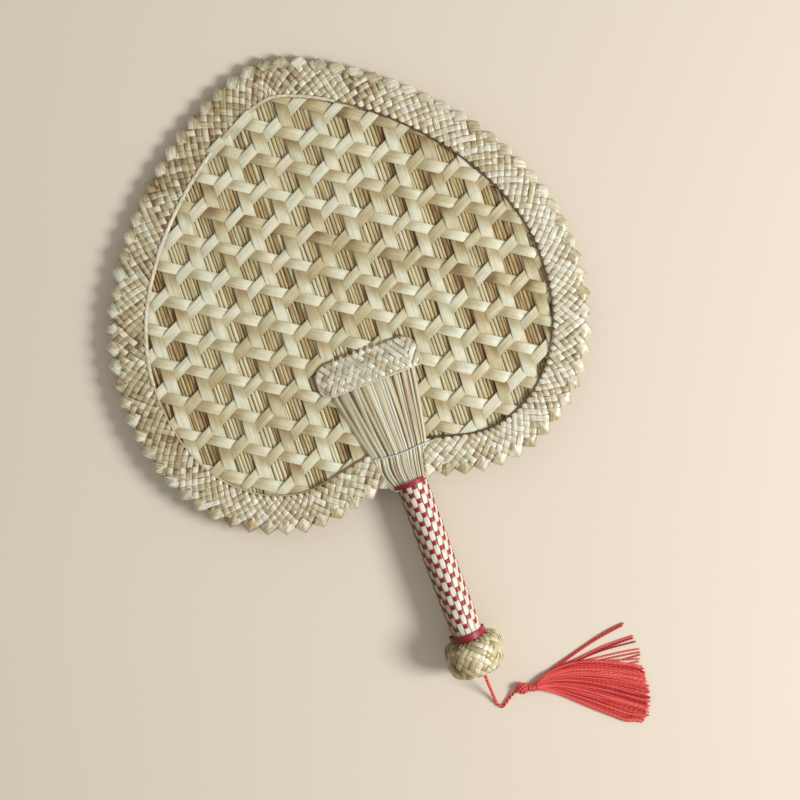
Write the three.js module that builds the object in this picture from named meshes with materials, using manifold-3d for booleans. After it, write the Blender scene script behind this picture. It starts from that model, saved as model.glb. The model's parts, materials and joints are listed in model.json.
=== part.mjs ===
// Woven straw hand fan, lying face up with its handle towards -Y and its tip towards +Y.
// Millimetres, +Z up. The origin is under the middle of the fan, on the surface it lies on.
// The fan's own frame has its zero at the upper collar, on the blade's middle line and middle plane.

import * as THREE from 'three';
import * as BufferGeometryUtils from 'three/addons/utils/BufferGeometryUtils.js';
import Module from 'manifold-3d';

const wasm = await Module();
wasm.setup();

// Blade outline over the tooth tips, one half of it; the other half is its mirror image
const tipRise = 267.5;           // from the upper collar to the apex
const bladeHalfWidth = 144.5;
const widestRise = 103;          // height of the widest place above the collar
const lobeOffset = 56;           // sideways place of each lobe's lowest point
const lobeDrop = 6.2;            // how far the lobes hang below the collar
const notchRise = 3;             // where the two lobes meet, behind the stems
const apexRound = 40;            // the greater, the rounder that stretch of the outline
const shoulderRound = 92;
const hipRound = 79;
const lobeOuterRound = 35;
const lobeInnerRound = 20;
const notchRound = 18;

// Blade layers, from the middle plane outwards
const clearance = 0.3;           // left between pieces that touch
const stalkPitch = 2;            // whole straw stalks side by side
const stalkThickness = 1.5;
const stalkGroove = 0.35;        // depth of the valley between two stalks
const stripThickness = 0.3;
const stripWidth = 7.4;
const stripSpacing = 18.6;       // between the middle lines of neighbouring strips
const stripTurn = 1.7;           // the upright strips' lean from the middle line, in degrees
const stripHoopWidth = 3;        // hidden ring that the strips' ends are caught in
const latticeX = -23.8;          // the middle of one hexagonal opening
const latticeY = 204.8;
const hoopDiameter = 4.2;        // cane inside the rim
const hoopInset = 9.8;
const borderThickness = 0.8;
const borderWidth = 23.5;        // from the tooth tips to the inner edge
const borderSlope = 8;           // width of the rounded rim outside the flat of the border
const toothPitch = 11.4;
const toothDepth = 3.3;
const rimEdge = 0.75;            // half thickness of the border at the tooth tips, less the parting gap
const caneWidth = 2;             // strip of cane sewn along the border's inner edge
const caneThickness = 1.2;
const netSteps = 50;             // corners of the hidden outline under the border
const netMargin = 1.2;           // between that outline and the rim hoop

// Handle, built along its own axis, which leaves the blade a little to one side
const handleOffset = 4.8;
const handleLean = 1.8;          // degrees from the blade's middle line
const stickDiameter = 10;
const gripCoreDiameter = 13.8;   // the stick is thicker below the ends of the stems
const tongueWidth = 12;          // flat end of the stick inside the blade
const tongueThickness = 1.4;
const tongueLength = 54;
const stickTop = 1.8;
const sleeveLength = 93.5;
const sleeveDiameter = 17.7;
const sleeveWall = 1.4;
const sleeveRibs = 15;           // pale straws along the sleeve
const sleeveGroove = 0.5;
const collarWidth = 2.8;
const collarThickness = 0.8;
const stickInKnob = 12.4;

// Gathered stems on each face of the blade, from the collar up to the cap plait
const stemCount = 11;
const stemGroove = 0.5;
const stemTail = 10.4;           // stems' ends inside the sleeve
const stemTailDiameter = 13.8;
const neckHalfWidth = 9;         // half width of the bundle inside the upper collar
const flareStart = 10;
const flareBend = 17.2;
const flareEnd = 26.5;
const flareBendRise = 17;
const flareEndRise = 66;
const stemRise = 78;
const socketDepth = 18;          // up to here the bundle replaces the blade's own layers
const neckRise = 9;              // bundle's height over the middle plane at the collar
const shoulderRise = 5.8;        // the same at the socket's end
const stemTopRise = 5.1;         // the same under the cap
const stemEdge = 1.1;            // thickness of the bundle at its two sides
const neckEdge = 0.4;            // the same where the bundle is round

const capHalfWidth = 31.2;
const capRise = 66.5;
const capHeight = 18.6;
const capBow = 1.6;
const capCorner = 4;
const capWall = 1.3;
const threadDiameter = 1.2;
const threadRise = 21.5;
const threadSlope = -0.05;

// Woven knob
const knobDiameter = 35;
const knobLength = 24;
const knobRoundness = 2.3;       // exponent of the knob's profile, 2 for an ellipse
const knobMouth = 19;            // diameter of the shell's mouth at the lower collar
const knobShellWall = 1.6;
const knobSides = 20;
const exitHole = 5.6;
const exitKnotDiameter = 3.6;
const exitKnotSink = 0.3;        // the knot's middle lies this far inside the knob's end

// Tassel
const cordDiameter = 1.7;
const beadDiameter = 6.4;
const beadX = 18.7;              // the bead's middle, from the exit knot's
const beadY = -21.4;
const floorGap = 0.1;
const tasselTurn = -16;          // degrees from +X
const neckDiameter = 3;
const neckLength = 4.6;
const skirtLength = 64;
const skirtRagged = 3;           // how far the locks' ends differ
const skirtTurn = 5;             // middle of the splay, turned from the neck's line
const skirtSpread = 57;          // degrees between its two sides
const skirtRoot = 3.6;           // width of the skirt where it leaves the neck
const skirtHeight = 3.6;
const skirtEndHeight = 2.6;
const skirtLocks = 11;
const lockGroove = 1.4;

// The cord's route after its start: sideways and along from the exit knot's middle, and height
// over the surface the fan lies on. It drops from the knob and runs round to the bead.
const cordRoute = [
  [0.15, -4.2, 17.6], [0.2, -6.3, 16.4], [0.3, -8.6, 14.6], [0.4, -11, 12.4],
  [0.5, -13.5, 10], [0.6, -16.1, 7.5], [0.7, -18.8, 5.1], [0.8, -21.5, 3.1],
  [1, -24, 1.8], [1.8, -26.2, 1.15], [3.4, -27.6, 1], [5.6, -27.4, 1],
  [7.7, -26.1, 1.1], [9.7, -24.7, 1.35], [11.6, -23.4, 1.75], [13.2, -22.4, 2.3],
];

const degree = Math.PI / 180;
const vec2 = (x, y) => new THREE.Vector2(x, y);
const vec3 = (x, y, z) => new THREE.Vector3(x, y, z);
const mix = THREE.MathUtils.lerp;

// Levels that the layers stack up to, over the middle plane
const stalkFace = stalkThickness / 2;
const stripFace = level => stalkFace + level * (clearance + stripThickness);
const netFace = stripFace(3);
const seatLevel = netFace + clearance;
const borderFace = seatLevel + borderThickness;
const netInset = hoopInset + hoopDiameter / 2 + netMargin;

// Geometry helpers

function plainGeometry(positions, faces) {
  const geometry = new THREE.BufferGeometry();
  geometry.setAttribute('position', new THREE.Float32BufferAttribute(positions, 3));
  geometry.setIndex(faces);
  return geometry;
}

function solidFrom(source) {
  const bare = source.clone();
  bare.deleteAttribute('normal');
  bare.deleteAttribute('uv');
  const merged = BufferGeometryUtils.mergeVertices(bare, 1e-3);
  return new wasm.Manifold(new wasm.Mesh({
    numProp: 3,
    vertProperties: new Float32Array(merged.attributes.position.array),
    triVerts: new Uint32Array(merged.index.array),
  }));
}

function geometryFrom(solid) {
  const mesh = solid.getMesh();
  const geometry = plainGeometry(Array.from(mesh.vertProperties), Array.from(mesh.triVerts));
  geometry.computeVertexNormals();
  return geometry;
}

function cut(geometry, ...tools) {
  const body = tools.reduce((rest, tool) => rest.subtract(solidFrom(tool)), solidFrom(geometry));
  return geometryFrom(body);
}

// Leaves out the offcuts that nothing holds
function largestBody(solid) {
  const bodies = solid.decompose();
  return geometryFrom(bodies.reduce((best, body) => (body.volume() > best.volume() ? body : best)));
}

// The same piece on the other face of the blade
function otherFace(source) {
  const flipped = source.index ? source.clone() : BufferGeometryUtils.mergeVertices(source.clone());
  flipped.scale(1, 1, -1);
  const corners = flipped.index.array;
  for (let i = 0; i < corners.length; i += 3) {
    [corners[i], corners[i + 1]] = [corners[i + 1], corners[i]];
  }
  flipped.computeVertexNormals();
  return flipped;
}

function plate(points, low, high, holes = []) {
  const shape = new THREE.Shape(points);
  shape.holes = holes.map(hole => new THREE.Path(hole));
  const options = { depth: high - low, bevelEnabled: false };
  return new THREE.ExtrudeGeometry(shape, options).translate(0, 0, low);
}

function plateBox(x0, x1, y0, y1, low, high) {
  return plate([vec2(x0, y0), vec2(x1, y0), vec2(x1, y1), vec2(x0, y1)], low, high);
}

// Joins equal rows of corners into a grid of triangles; closed rows or rings wrap round
function gridFaces(rows, columns, closedRing, closedRow, first = 0, flip = false) {
  const faces = [];
  const corner = (i, j) => first + (i % rows) * columns + (j % columns);
  for (let i = 0; i < (closedRing ? rows : rows - 1); i += 1) {
    for (let j = 0; j < (closedRow ? columns : columns - 1); j += 1) {
      const [a, b, c, d] = [corner(i, j), corner(i, j + 1), corner(i + 1, j + 1), corner(i + 1, j)];
      faces.push(...(flip ? [a, c, b, a, d, c] : [a, b, c, a, c, d]));
    }
  }
  return faces;
}

// A closed ring whose section, a loop of [inset, height], follows the blade's outline
function rimRing(sectionAt, count) {
  const positions = [];
  const frames = outlineFrames(count);
  frames.forEach(({ point, inward }, i) => {
    for (const [inset, height] of sectionAt(i)) {
      positions.push(point.x + inward.x * inset, point.y + inward.y * inset, height);
    }
  });
  const columns = positions.length / 3 / count;
  return plainGeometry(positions, gridFaces(count, columns, true, true));
}

// A closed slab between an upper and a lower grid of corners; each row runs in +X, rows go in +Y
function slab(rows) {
  const columns = rows[0].top.length;
  const size = rows.length * columns;
  const positions = [];
  for (const row of rows) row.top.forEach(p => positions.push(p.x, p.y, p.z));
  for (const row of rows) row.base.forEach(p => positions.push(p.x, p.y, p.z));
  const faces = [
    ...gridFaces(rows.length, columns, false, false),
    ...gridFaces(rows.length, columns, false, false, size, true),
  ];
  const wall = (a, b) => faces.push(a, a + size, b + size, a, b + size, b);
  for (let j = 0; j < columns - 1; j += 1) {
    wall(j, j + 1);
    wall(size - columns + j + 1, size - columns + j);
  }
  for (let i = 0; i < rows.length - 1; i += 1) {
    wall((i + 1) * columns, i * columns);
    wall((i + 1) * columns - 1, (i + 2) * columns - 1);
  }
  return plainGeometry(positions, faces);
}

function tubeAlong(points, diameter, sides, steps) {
  const section = new THREE.Shape();
  for (let k = 0; k < sides; k += 1) {
    const angle = (k + 0.5) / sides * 2 * Math.PI;
    const corner = [Math.cos(angle) * diameter / 2, Math.sin(angle) * diameter / 2];
    if (k === 0) section.moveTo(...corner);
    else section.lineTo(...corner);
  }
  const path = new THREE.CatmullRomCurve3(points);
  return new THREE.ExtrudeGeometry(section, { steps, extrudePath: path });
}

// A turned piece about the handle's axis: profile points are [radius, distance along +Y]
function turned(profile, sides) {
  return new THREE.LatheGeometry(profile.map(([r, y]) => vec2(r, y)), sides);
}

function band(innerRadius, outerRadius, low, high, sides = 24) {
  const profile = [[innerRadius, low], [outerRadius, low], [outerRadius, high], [innerRadius, high]];
  return turned([...profile, profile[0]], sides);
}

// Blade outline

const notch = vec2(0, notchRise);
const lobe = vec2(lobeOffset, -lobeDrop);
const widest = vec2(bladeHalfWidth, widestRise);
const apex = vec2(0, tipRise);
const mirrored = p => vec2(-p.x, p.y);

function outlineCurve() {
  const half = [
    [notch, vec2(notchRound, notchRise), vec2(lobeOffset - lobeInnerRound, -lobeDrop), lobe],
    [lobe, vec2(lobeOffset + lobeOuterRound, -lobeDrop),
      vec2(bladeHalfWidth, widestRise - hipRound), widest],
    [widest, vec2(bladeHalfWidth, widestRise + shoulderRound), vec2(apexRound, tipRise), apex],
  ];
  const path = new THREE.CurvePath();
  for (const corners of half) path.add(new THREE.CubicBezierCurve(...corners));
  for (const corners of half.toReversed()) {
    path.add(new THREE.CubicBezierCurve(...corners.toReversed().map(mirrored)));
  }
  return path;
}

const outline = outlineCurve();
const teeth = Math.round(outline.getLength() / toothPitch);

// Evenly spaced places on the outline, counter-clockwise, each with its inward direction
function outlineFrames(count) {
  return Array.from({ length: count }, (_, i) => {
    const along = outline.getTangent(i / count);
    return { point: outline.getPoint(i / count), inward: vec2(-along.y, along.x) };
  });
}

function outlineInset(inset) {
  return outlineFrames(netSteps).map(({ point, inward }) => point.addScaledVector(inward, inset));
}

// The handle's frame, seen from the fan's
const handlePlace = new THREE.Matrix4().makeRotationZ(handleLean * degree)
  .setPosition(handleOffset, 0, 0);
const atHandle = geometry => geometry.clone().applyMatrix4(handlePlace);

// Stem bundles

const flare = new THREE.QuadraticBezierCurve(
  vec2(flareStart, collarWidth / 2), vec2(flareBend, flareBendRise), vec2(flareEnd, flareEndRise));

// Half width of the bundle at a height over the collar
function bundleHalfWidth(y) {
  if (y <= collarWidth / 2) return neckHalfWidth;
  if (y >= flareEndRise) return flareEnd;
  const rows = flare.getPoints(netSteps);
  const above = rows.findIndex(p => p.y >= y);
  const share = (y - rows[above - 1].y) / (rows[above].y - rows[above - 1].y);
  return mix(rows[above - 1].x, rows[above].x, share);
}

// Height of the bundle's middle over the blade's middle plane
function bundleRise(y) {
  if (y <= 0) return neckRise;
  if (y <= socketDepth) return mix(neckRise, shoulderRise, y / socketDepth);
  return mix(shoulderRise, stemTopRise, (y - socketDepth) / (stemRise - socketDepth));
}

function bundleRow(y, halfWidth, rise, baseLevel, { edge = stemEdge, grow = 0 } = {}) {
  const columns = 2 * stemCount + 1;
  const edgeLevel = baseLevel + edge;
  const row = { top: [], base: [] };
  for (let j = 0; j < columns; j += 1) {
    const across = 2 * j / (columns - 1) - 1;
    const crown = Math.sqrt(1 - across * across);
    const valley = j % 2 === 0 ? stemGroove * crown : 0;
    const x = across * (halfWidth + grow);
    row.top.push(vec3(x, y, mix(edgeLevel, rise, crown) - valley + grow));
    row.base.push(vec3(x, y, baseLevel - grow));
  }
  return row;
}

const partingLevel = clearance / 2;
const shoulderStep = 0.3;        // length of the small steps in the bundle

function stemBundle() {
  const tail = stemTailDiameter / 2;
  const rows = [
    bundleRow(-collarWidth / 2 - stemTail, tail, tail, partingLevel, { edge: neckEdge }),
    bundleRow(-collarWidth / 2 - shoulderStep, tail, tail, partingLevel, { edge: neckEdge }),
    bundleRow(-collarWidth / 2, neckHalfWidth, neckRise, partingLevel, { edge: neckEdge }),
    bundleRow(collarWidth / 2, neckHalfWidth, neckRise, partingLevel, { edge: neckEdge }),
  ];
  const addRow = (y, level) => rows.push(bundleRow(y, bundleHalfWidth(y), bundleRise(y), level));
  for (const share of [0.33, 0.67]) addRow(socketDepth * share, partingLevel);
  addRow(socketDepth - shoulderStep, partingLevel);
  addRow(socketDepth, seatLevel);
  for (const share of [0.3, 0.65]) addRow(mix(socketDepth, stemRise, share), seatLevel);
  addRow(stemRise, seatLevel);
  return slab(rows);
}

// The room that the bundle takes out of the blade, up to a height over the collar
function socketRoom(top) {
  const heights = [-2 * stemTail, 0, 2, socketDepth / 3, socketDepth * 2 / 3, socketDepth];
  if (top > socketDepth) heights.push(mix(socketDepth, top, 0.5));
  heights.push(top);
  const side = heights.map(y => vec2(Math.max(bundleHalfWidth(y), flareStart) + clearance, y));
  const depth = sleeveDiameter;
  return atHandle(plate([...side, ...side.toReversed().map(mirrored)], -depth, depth));
}

// The stick, grown by a clearance where it is used to cut its neighbours
function stick(grow = 0) {
  const radius = stickDiameter / 2 + grow;
  const grip = gripCoreDiameter / 2 + grow;
  const gripTop = -collarWidth / 2 - stemTail - clearance;
  const gripEnd = -collarWidth / 2 - sleeveLength;
  const shaft = turned([
    [0, gripEnd - stickInKnob - grow], [radius, gripEnd - stickInKnob - grow], [radius, gripEnd],
    [grip, gripEnd], [grip, gripTop + grow], [radius, gripTop + grow], [radius, stickTop + grow],
    [0, stickTop + grow],
  ], 16);
  const half = tongueWidth / 2 + grow;
  const thick = tongueThickness / 2 + grow;
  const tongue = plateBox(-half, half, -stickDiameter, tongueLength + grow, -thick, thick);
  return geometryFrom(solidFrom(shaft).add(solidFrom(tongue)));
}

// Blade pieces

function stalkMat() {
  const edge = outlineInset(netInset);
  const crossings = x => {
    const hits = [];
    edge.forEach((p, i) => {
      const q = edge[(i + 1) % edge.length];
      if ((p.x - x) * (q.x - x) <= 0 && p.x !== q.x) hits.push(mix(p.y, q.y, (x - p.x) / (q.x - p.x)));
    });
    return [Math.min(...hits), Math.max(...hits)];
  };
  const reach = Math.floor((bladeHalfWidth - netInset) / stalkPitch - 1);
  const rows = [{ top: [], base: [] }, { top: [], base: [] }];
  for (let j = -2 * reach; j <= 2 * reach; j += 1) {
    const x = j * stalkPitch / 2;
    const z = stalkFace - (j % 2 === 0 ? stalkGroove : 0);
    crossings(x).forEach((y, end) => {
      rows[end].top.push(vec3(x, y, z));
      rows[end].base.push(vec3(x, y, -z));
    });
  }
  const slot = atHandle(plateBox(
    -tongueWidth / 2 - clearance, tongueWidth / 2 + clearance, 0, tongueLength + clearance,
    -stalkThickness, stalkThickness));
  return cut(slab(rows), socketRoom(socketDepth + clearance), slot);
}

// One family of parallel strips, held at their ends by the ring under the border
function stripLayer(angle, level) {
  const high = stripFace(level);
  const low = high - stripThickness;
  const reach = 2 * tipRise;
  const gaps = [];
  const across = vec2(-Math.sin(angle), Math.cos(angle));
  const start = across.x * latticeX + across.y * latticeY;
  const count = Math.ceil(reach / stripSpacing);
  for (let k = -count; k <= count; k += 1) {
    const middle = start + k * stripSpacing;
    const half = (stripSpacing - stripWidth) / 2;
    gaps.push(plateBox(-reach, reach, middle - half, middle + half, low - 1, high + 1).rotateZ(angle));
  }
  const inside = solidFrom(plate(outlineInset(netInset + stripHoopWidth), low - 1, high + 1));
  const whole = solidFrom(plate(outlineInset(netInset), low, high));
  const openings = gaps.reduce((sum, gap) => sum.add(solidFrom(gap)), solidFrom(gaps[0]));
  const layer = whole.subtract(openings.intersect(inside));
  return largestBody(layer.subtract(solidFrom(socketRoom(socketDepth + clearance))));
}

const tallSocket = () => socketRoom(notchRise + borderWidth + 4 * caneWidth);

function rimHoop() {
  const radius = hoopDiameter / 2;
  const section = [];
  for (let k = 0; k < 6; k += 1) {
    const angle = k / 6 * 2 * Math.PI;
    section.push([hoopInset + radius * Math.cos(angle), radius * Math.sin(angle)]);
  }
  return cut(rimRing(() => section, teeth), tallSocket());
}

// One face of the border: two rows of corners to a tooth, one at its tip and one at its root
function borderPlait() {
  const section = i => {
    const edge = i % 2 === 0 ? 0 : toothDepth;
    return [
      [edge, partingLevel], [borderSlope + 1.5, seatLevel], [borderWidth, seatLevel],
      [borderWidth, borderFace], [borderSlope, borderFace], [edge, partingLevel + rimEdge],
    ];
  };
  return cut(rimRing(section, 2 * teeth), tallSocket());
}

function edgeCane() {
  const near = borderWidth + clearance;
  const far = near + caneWidth;
  const top = seatLevel + caneThickness;
  const section = [[near, seatLevel], [far, seatLevel], [far, top], [near, top]];
  return cut(rimRing(() => section, teeth), tallSocket());
}

function capPlait() {
  const shape = new THREE.Shape();
  const left = -capHalfWidth;
  const top = capRise + capHeight;
  shape.moveTo(left + capCorner, capRise);
  shape.lineTo(capHalfWidth - capCorner, capRise);
  shape.quadraticCurveTo(capHalfWidth, capRise, capHalfWidth, capRise + capCorner);
  shape.lineTo(capHalfWidth, top - capCorner);
  shape.quadraticCurveTo(capHalfWidth, top, capHalfWidth - capCorner, top);
  shape.quadraticCurveTo(0, top + 2 * capBow, left + capCorner, top);
  shape.quadraticCurveTo(left, top, left, top - capCorner);
  shape.lineTo(left, capRise + capCorner);
  shape.quadraticCurveTo(left, capRise, left + capCorner, capRise);
  const height = stemTopRise + clearance + capWall - seatLevel;
  const block = new THREE.ExtrudeGeometry(shape, { depth: height, bevelEnabled: false, curveSegments: 4 });
  const pocket = slab([capRise - capHeight, stemRise + clearance].map(y => (
    bundleRow(y, flareEnd, bundleRise(capRise), seatLevel, { grow: clearance }))));
  return cut(block.translate(0, 0, seatLevel), pocket);
}

function tieThread() {
  const half = bundleHalfWidth(threadRise);
  const over = clearance + threadDiameter / 2;
  const points = [vec3(-half - over, threadRise, borderFace + over)];
  for (const across of [-0.85, -0.5, 0, 0.5, 0.85]) {
    const z = mix(seatLevel + stemEdge, bundleRise(threadRise), Math.sqrt(1 - across * across));
    points.push(vec3(across * half, threadRise, z + over + clearance));
  }
  points.push(vec3(half + over, threadRise, borderFace + over));
  for (const p of points) p.y += p.x * threadSlope;
  return tubeAlong(points, threadDiameter, 6, 9);
}

// Handle pieces

const sleeveTop = -collarWidth / 2 - 2 * clearance;
const sleeveEnd = sleeveTop - sleeveLength;

function handleSleeve() {
  const ribs = [];
  for (let k = 0; k < 2 * sleeveRibs; k += 1) {
    const angle = (k + 0.5) / sleeveRibs * Math.PI;
    const radius = sleeveDiameter / 2 - (k % 2 === 0 ? 0 : sleeveGroove);
    ribs.push(vec2(radius * Math.cos(angle), radius * Math.sin(angle)));
  }
  const bore = new THREE.Path().absarc(0, 0, sleeveDiameter / 2 - sleeveWall, 0, 2 * Math.PI);
  const tube = plate(ribs, 0, sleeveLength, [bore.getPoints(12).slice(0, -1)]);
  return tube.rotateX(Math.PI / 2).translate(0, sleeveTop, 0);
}

function upperCollar() {
  const inner = neckHalfWidth + clearance;
  return band(inner, inner + collarThickness, -collarWidth / 2, collarWidth / 2);
}

function lowerCollar() {
  const inner = sleeveDiameter / 2 + clearance;
  return band(inner, inner + collarThickness, sleeveEnd, sleeveEnd + collarWidth);
}

// Knob: a woven shell round a ball that holds the stick

const knobHalf = knobLength / 2;
const shareAt = diameter => (1 - (diameter / knobDiameter) ** knobRoundness) ** (1 / knobRoundness);
const mouthShare = shareAt(knobMouth);
const holeShare = shareAt(exitHole);
const innerSteps = 7;
const knobMiddle = sleeveEnd - clearance - knobHalf * mouthShare;
const knobEnd = knobMiddle - knobHalf;

// Profile of the knob from one share of its half length to another, shrunk by a depth
function knobProfile(from, to, depth, steps) {
  const points = [];
  for (let k = 0; k <= steps; k += 1) {
    const share = mix(from, to, k / steps);
    const radius = (1 - Math.abs(share) ** knobRoundness) ** (1 / knobRoundness);
    points.push([radius * (knobDiameter / 2 - depth), knobMiddle + share * (knobHalf - depth)]);
  }
  return points;
}

function knobShell() {
  const outer = knobProfile(-holeShare, mouthShare, 0, 10);
  const inner = knobProfile(mouthShare, -holeShare, knobShellWall, innerSteps);
  return turned([...outer, ...inner, outer[0]], knobSides);
}

function knobCore() {
  const depth = knobShellWall + clearance;
  const bore = stickDiameter / 2 + clearance;
  const boreEnd = -collarWidth / 2 - sleeveLength - stickInKnob - clearance;
  const skin = knobProfile(-holeShare, mouthShare, depth, innerSteps);
  const foot = knobEnd + exitKnotSink + exitKnotDiameter / 2 + clearance;
  const low = skin.map(([r, y]) => [r, Math.max(y, foot)]);
  const mouth = low.at(-1)[1];
  return turned([[0, foot], ...low, [bore, mouth], [bore, boreEnd], [0, boreEnd]], knobSides);
}

const exitKnotPlace = knobEnd + exitKnotSink;

// The fan lies on the knob and on the far end of the rim, so the whole fan is tilted
const rimContact = tipRise - borderSlope;
const restTilt = Math.asin((knobDiameter / 2 - borderFace) / (rimContact - knobMiddle));
const restLift = knobDiameter / 2 - knobMiddle * Math.sin(-restTilt);

function material(name, color, roughness, metalness = 0) {
  return new THREE.MeshStandardMaterial({ name, color, roughness, metalness });
}

const straw = material('straw', 0xd8cda4, 0.5);
const paleStraw = material('pale_straw', 0xe2dcc0, 0.45);
const tanStraw = material('tan_straw', 0xcbb483, 0.55);
const cane = material('cane', 0xa87f4e, 0.5);
const wood = material('stick_wood', 0xc9a877, 0.6);
const crimson = material('crimson_strip', 0xa31f33, 0.4);
const thread = material('thread', 0xdfe4ea, 0.8);
const red = material('red_yarn', 0xcf3540, 0.75);

function piece(name, geometry, look, parent) {
  const mesh = new THREE.Mesh(geometry, look);
  mesh.name = name;
  parent.add(mesh);
  return mesh;
}

function bothFaces(name, geometry, look, parent) {
  piece(`${name}_front`, geometry, look, parent);
  piece(`${name}_back`, otherFace(geometry), look, parent);
}

const model = new THREE.Group();
const placed = new THREE.Group();
const fan = new THREE.Group();
const handle = new THREE.Group();
model.add(placed);
placed.add(fan);
fan.add(handle);
fan.rotation.x = -restTilt;
fan.position.z = restLift;
handle.position.x = handleOffset;
handle.rotation.z = handleLean * degree;

piece('stalk_mat', stalkMat(), tanStraw, fan);
const upright = (90 - stripTurn) * degree;
bothFaces('upright_strips', stripLayer(upright, 1), straw, fan);
bothFaces('falling_strips', stripLayer(upright + 60 * degree, 2), paleStraw, fan);
bothFaces('rising_strips', stripLayer(upright - 60 * degree, 3), straw, fan);
piece('rim_hoop', rimHoop(), cane, fan);
bothFaces('border_plait', borderPlait(), paleStraw, fan);
bothFaces('edge_cane', edgeCane(), cane, fan);

bothFaces('stem_bundle', cut(stemBundle(), stick(clearance)), paleStraw, handle);
bothFaces('cap_plait', capPlait(), straw, handle);
bothFaces('tie_thread', tieThread(), thread, handle);
piece('upper_collar', upperCollar(), crimson, handle);
piece('handle_stick', stick(), wood, handle);
piece('handle_sleeve', handleSleeve(), paleStraw, handle);
piece('lower_collar', lowerCollar(), crimson, handle);
piece('knob_core', knobCore(), wood, handle);
piece('knob_shell', knobShell(), tanStraw, handle);
const exitKnot = piece('exit_knot', new THREE.SphereGeometry(exitKnotDiameter / 2, 12, 6), red, handle);
exitKnot.position.y = exitKnotPlace;

// The middle of the fan goes over the origin before the tassel is added
model.updateMatrixWorld(true);
const room = new THREE.Box3().setFromObject(fan, true);
const middle = room.getCenter(vec3(0, 0, 0));
placed.position.set(-middle.x, -middle.y, -room.min.z);

// Tassel: the cord from the exit knot, the bead, the neck and the skirt

const fanPlace = new THREE.Matrix4().makeRotationX(-restTilt).setPosition(0, 0, restLift);
const exitPoint = vec3(0, exitKnotPlace, 0).applyMatrix4(handlePlace).applyMatrix4(fanPlace);
const exitWay = vec3(0, -1, 0).transformDirection(handlePlace).transformDirection(fanPlace);
const bead = vec3(exitPoint.x + beadX, exitPoint.y + beadY, beadDiameter / 2 + floorGap);

function cordPoints() {
  const start = exitPoint.clone().addScaledVector(exitWay, exitKnotDiameter / 2 + clearance);
  const route = cordRoute.map(([dx, dy, z]) => vec3(exitPoint.x + dx, exitPoint.y + dy, z));
  const inward = route.at(-1).clone().sub(bead).normalize();
  const end = bead.clone().addScaledVector(inward, beadDiameter / 2 + clearance);
  return [start, ...route, end];
}

const neckStart = beadDiameter / 2 + clearance;
const skirtStart = neckStart + neckLength + clearance;

function tasselNeck() {
  const rod = new THREE.CylinderGeometry(neckDiameter / 2, neckDiameter / 2, neckLength, 12);
  return rod.rotateZ(-Math.PI / 2).translate(neckStart + neckLength / 2, 0, 0);
}

// Locks of strands that splay out flat from the neck, each with its own length
function tasselSkirt() {
  const spread = skirtSpread * degree;
  const origin = skirtRoot / 2 / Math.tan(spread / 2);
  const columns = 2 * skirtLocks + 1;
  const floor = floorGap - bead.z;
  const rows = [];
  for (const share of [0, 0.12, 0.35, 0.65, 1]) {
    const row = { top: [], base: [] };
    for (let j = 0; j < columns; j += 1) {
      const angle = (0.5 - j / (columns - 1)) * spread;
      const lock = Math.floor(j / 2);
      const ragged = skirtRagged * Math.sin(lock * 2.3) * share;
      const reach = origin + skirtLength * share + ragged;
      const height = mix(skirtHeight, skirtEndHeight, share) - (j % 2 === 0 ? lockGroove * share : 0);
      const x = reach * Math.cos(angle) - origin * Math.cos(spread / 2);
      row.top.push(vec3(x, -reach * Math.sin(angle), floor + height));
      row.base.push(vec3(x, -reach * Math.sin(angle), floor));
    }
    rows.push(row);
  }
  return slab(rows.reverse()).rotateZ(skirtTurn * degree).translate(skirtStart, 0, 0);
}

const tassel = new THREE.Group();
placed.add(tassel);
tassel.position.copy(bead);
tassel.rotation.z = tasselTurn * degree;
piece('tassel_cord', tubeAlong(cordPoints(), cordDiameter, 8, 18), red, placed);
piece('tassel_bead', new THREE.SphereGeometry(beadDiameter / 2, 14, 8), red, tassel);
piece('tassel_neck', tasselNeck(), red, tassel);
piece('tassel_skirt', tasselSkirt(), red, tassel);

export default model;
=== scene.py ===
"""Woven straw hand fan with a bound handle, a woven knob and a red tassel.

Each sub-assembly is a class that holds its sizes in millimetres and builds its own meshes.
The meshes are shaped in the blade's, the handle's or the tassel's own frame and then placed.
A tint runs from 0 for the palest straw to 1 for the driest, or from deep to bright in a yarn; several pieces also
shift it by place as painted shade and painted light.
"""

import json
import logging
import math
import random
from bisect import bisect_right
from dataclasses import dataclass, field, replace
from enum import Enum
from typing import Callable, Dict, Iterator, List, Optional, Sequence, Tuple

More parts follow.
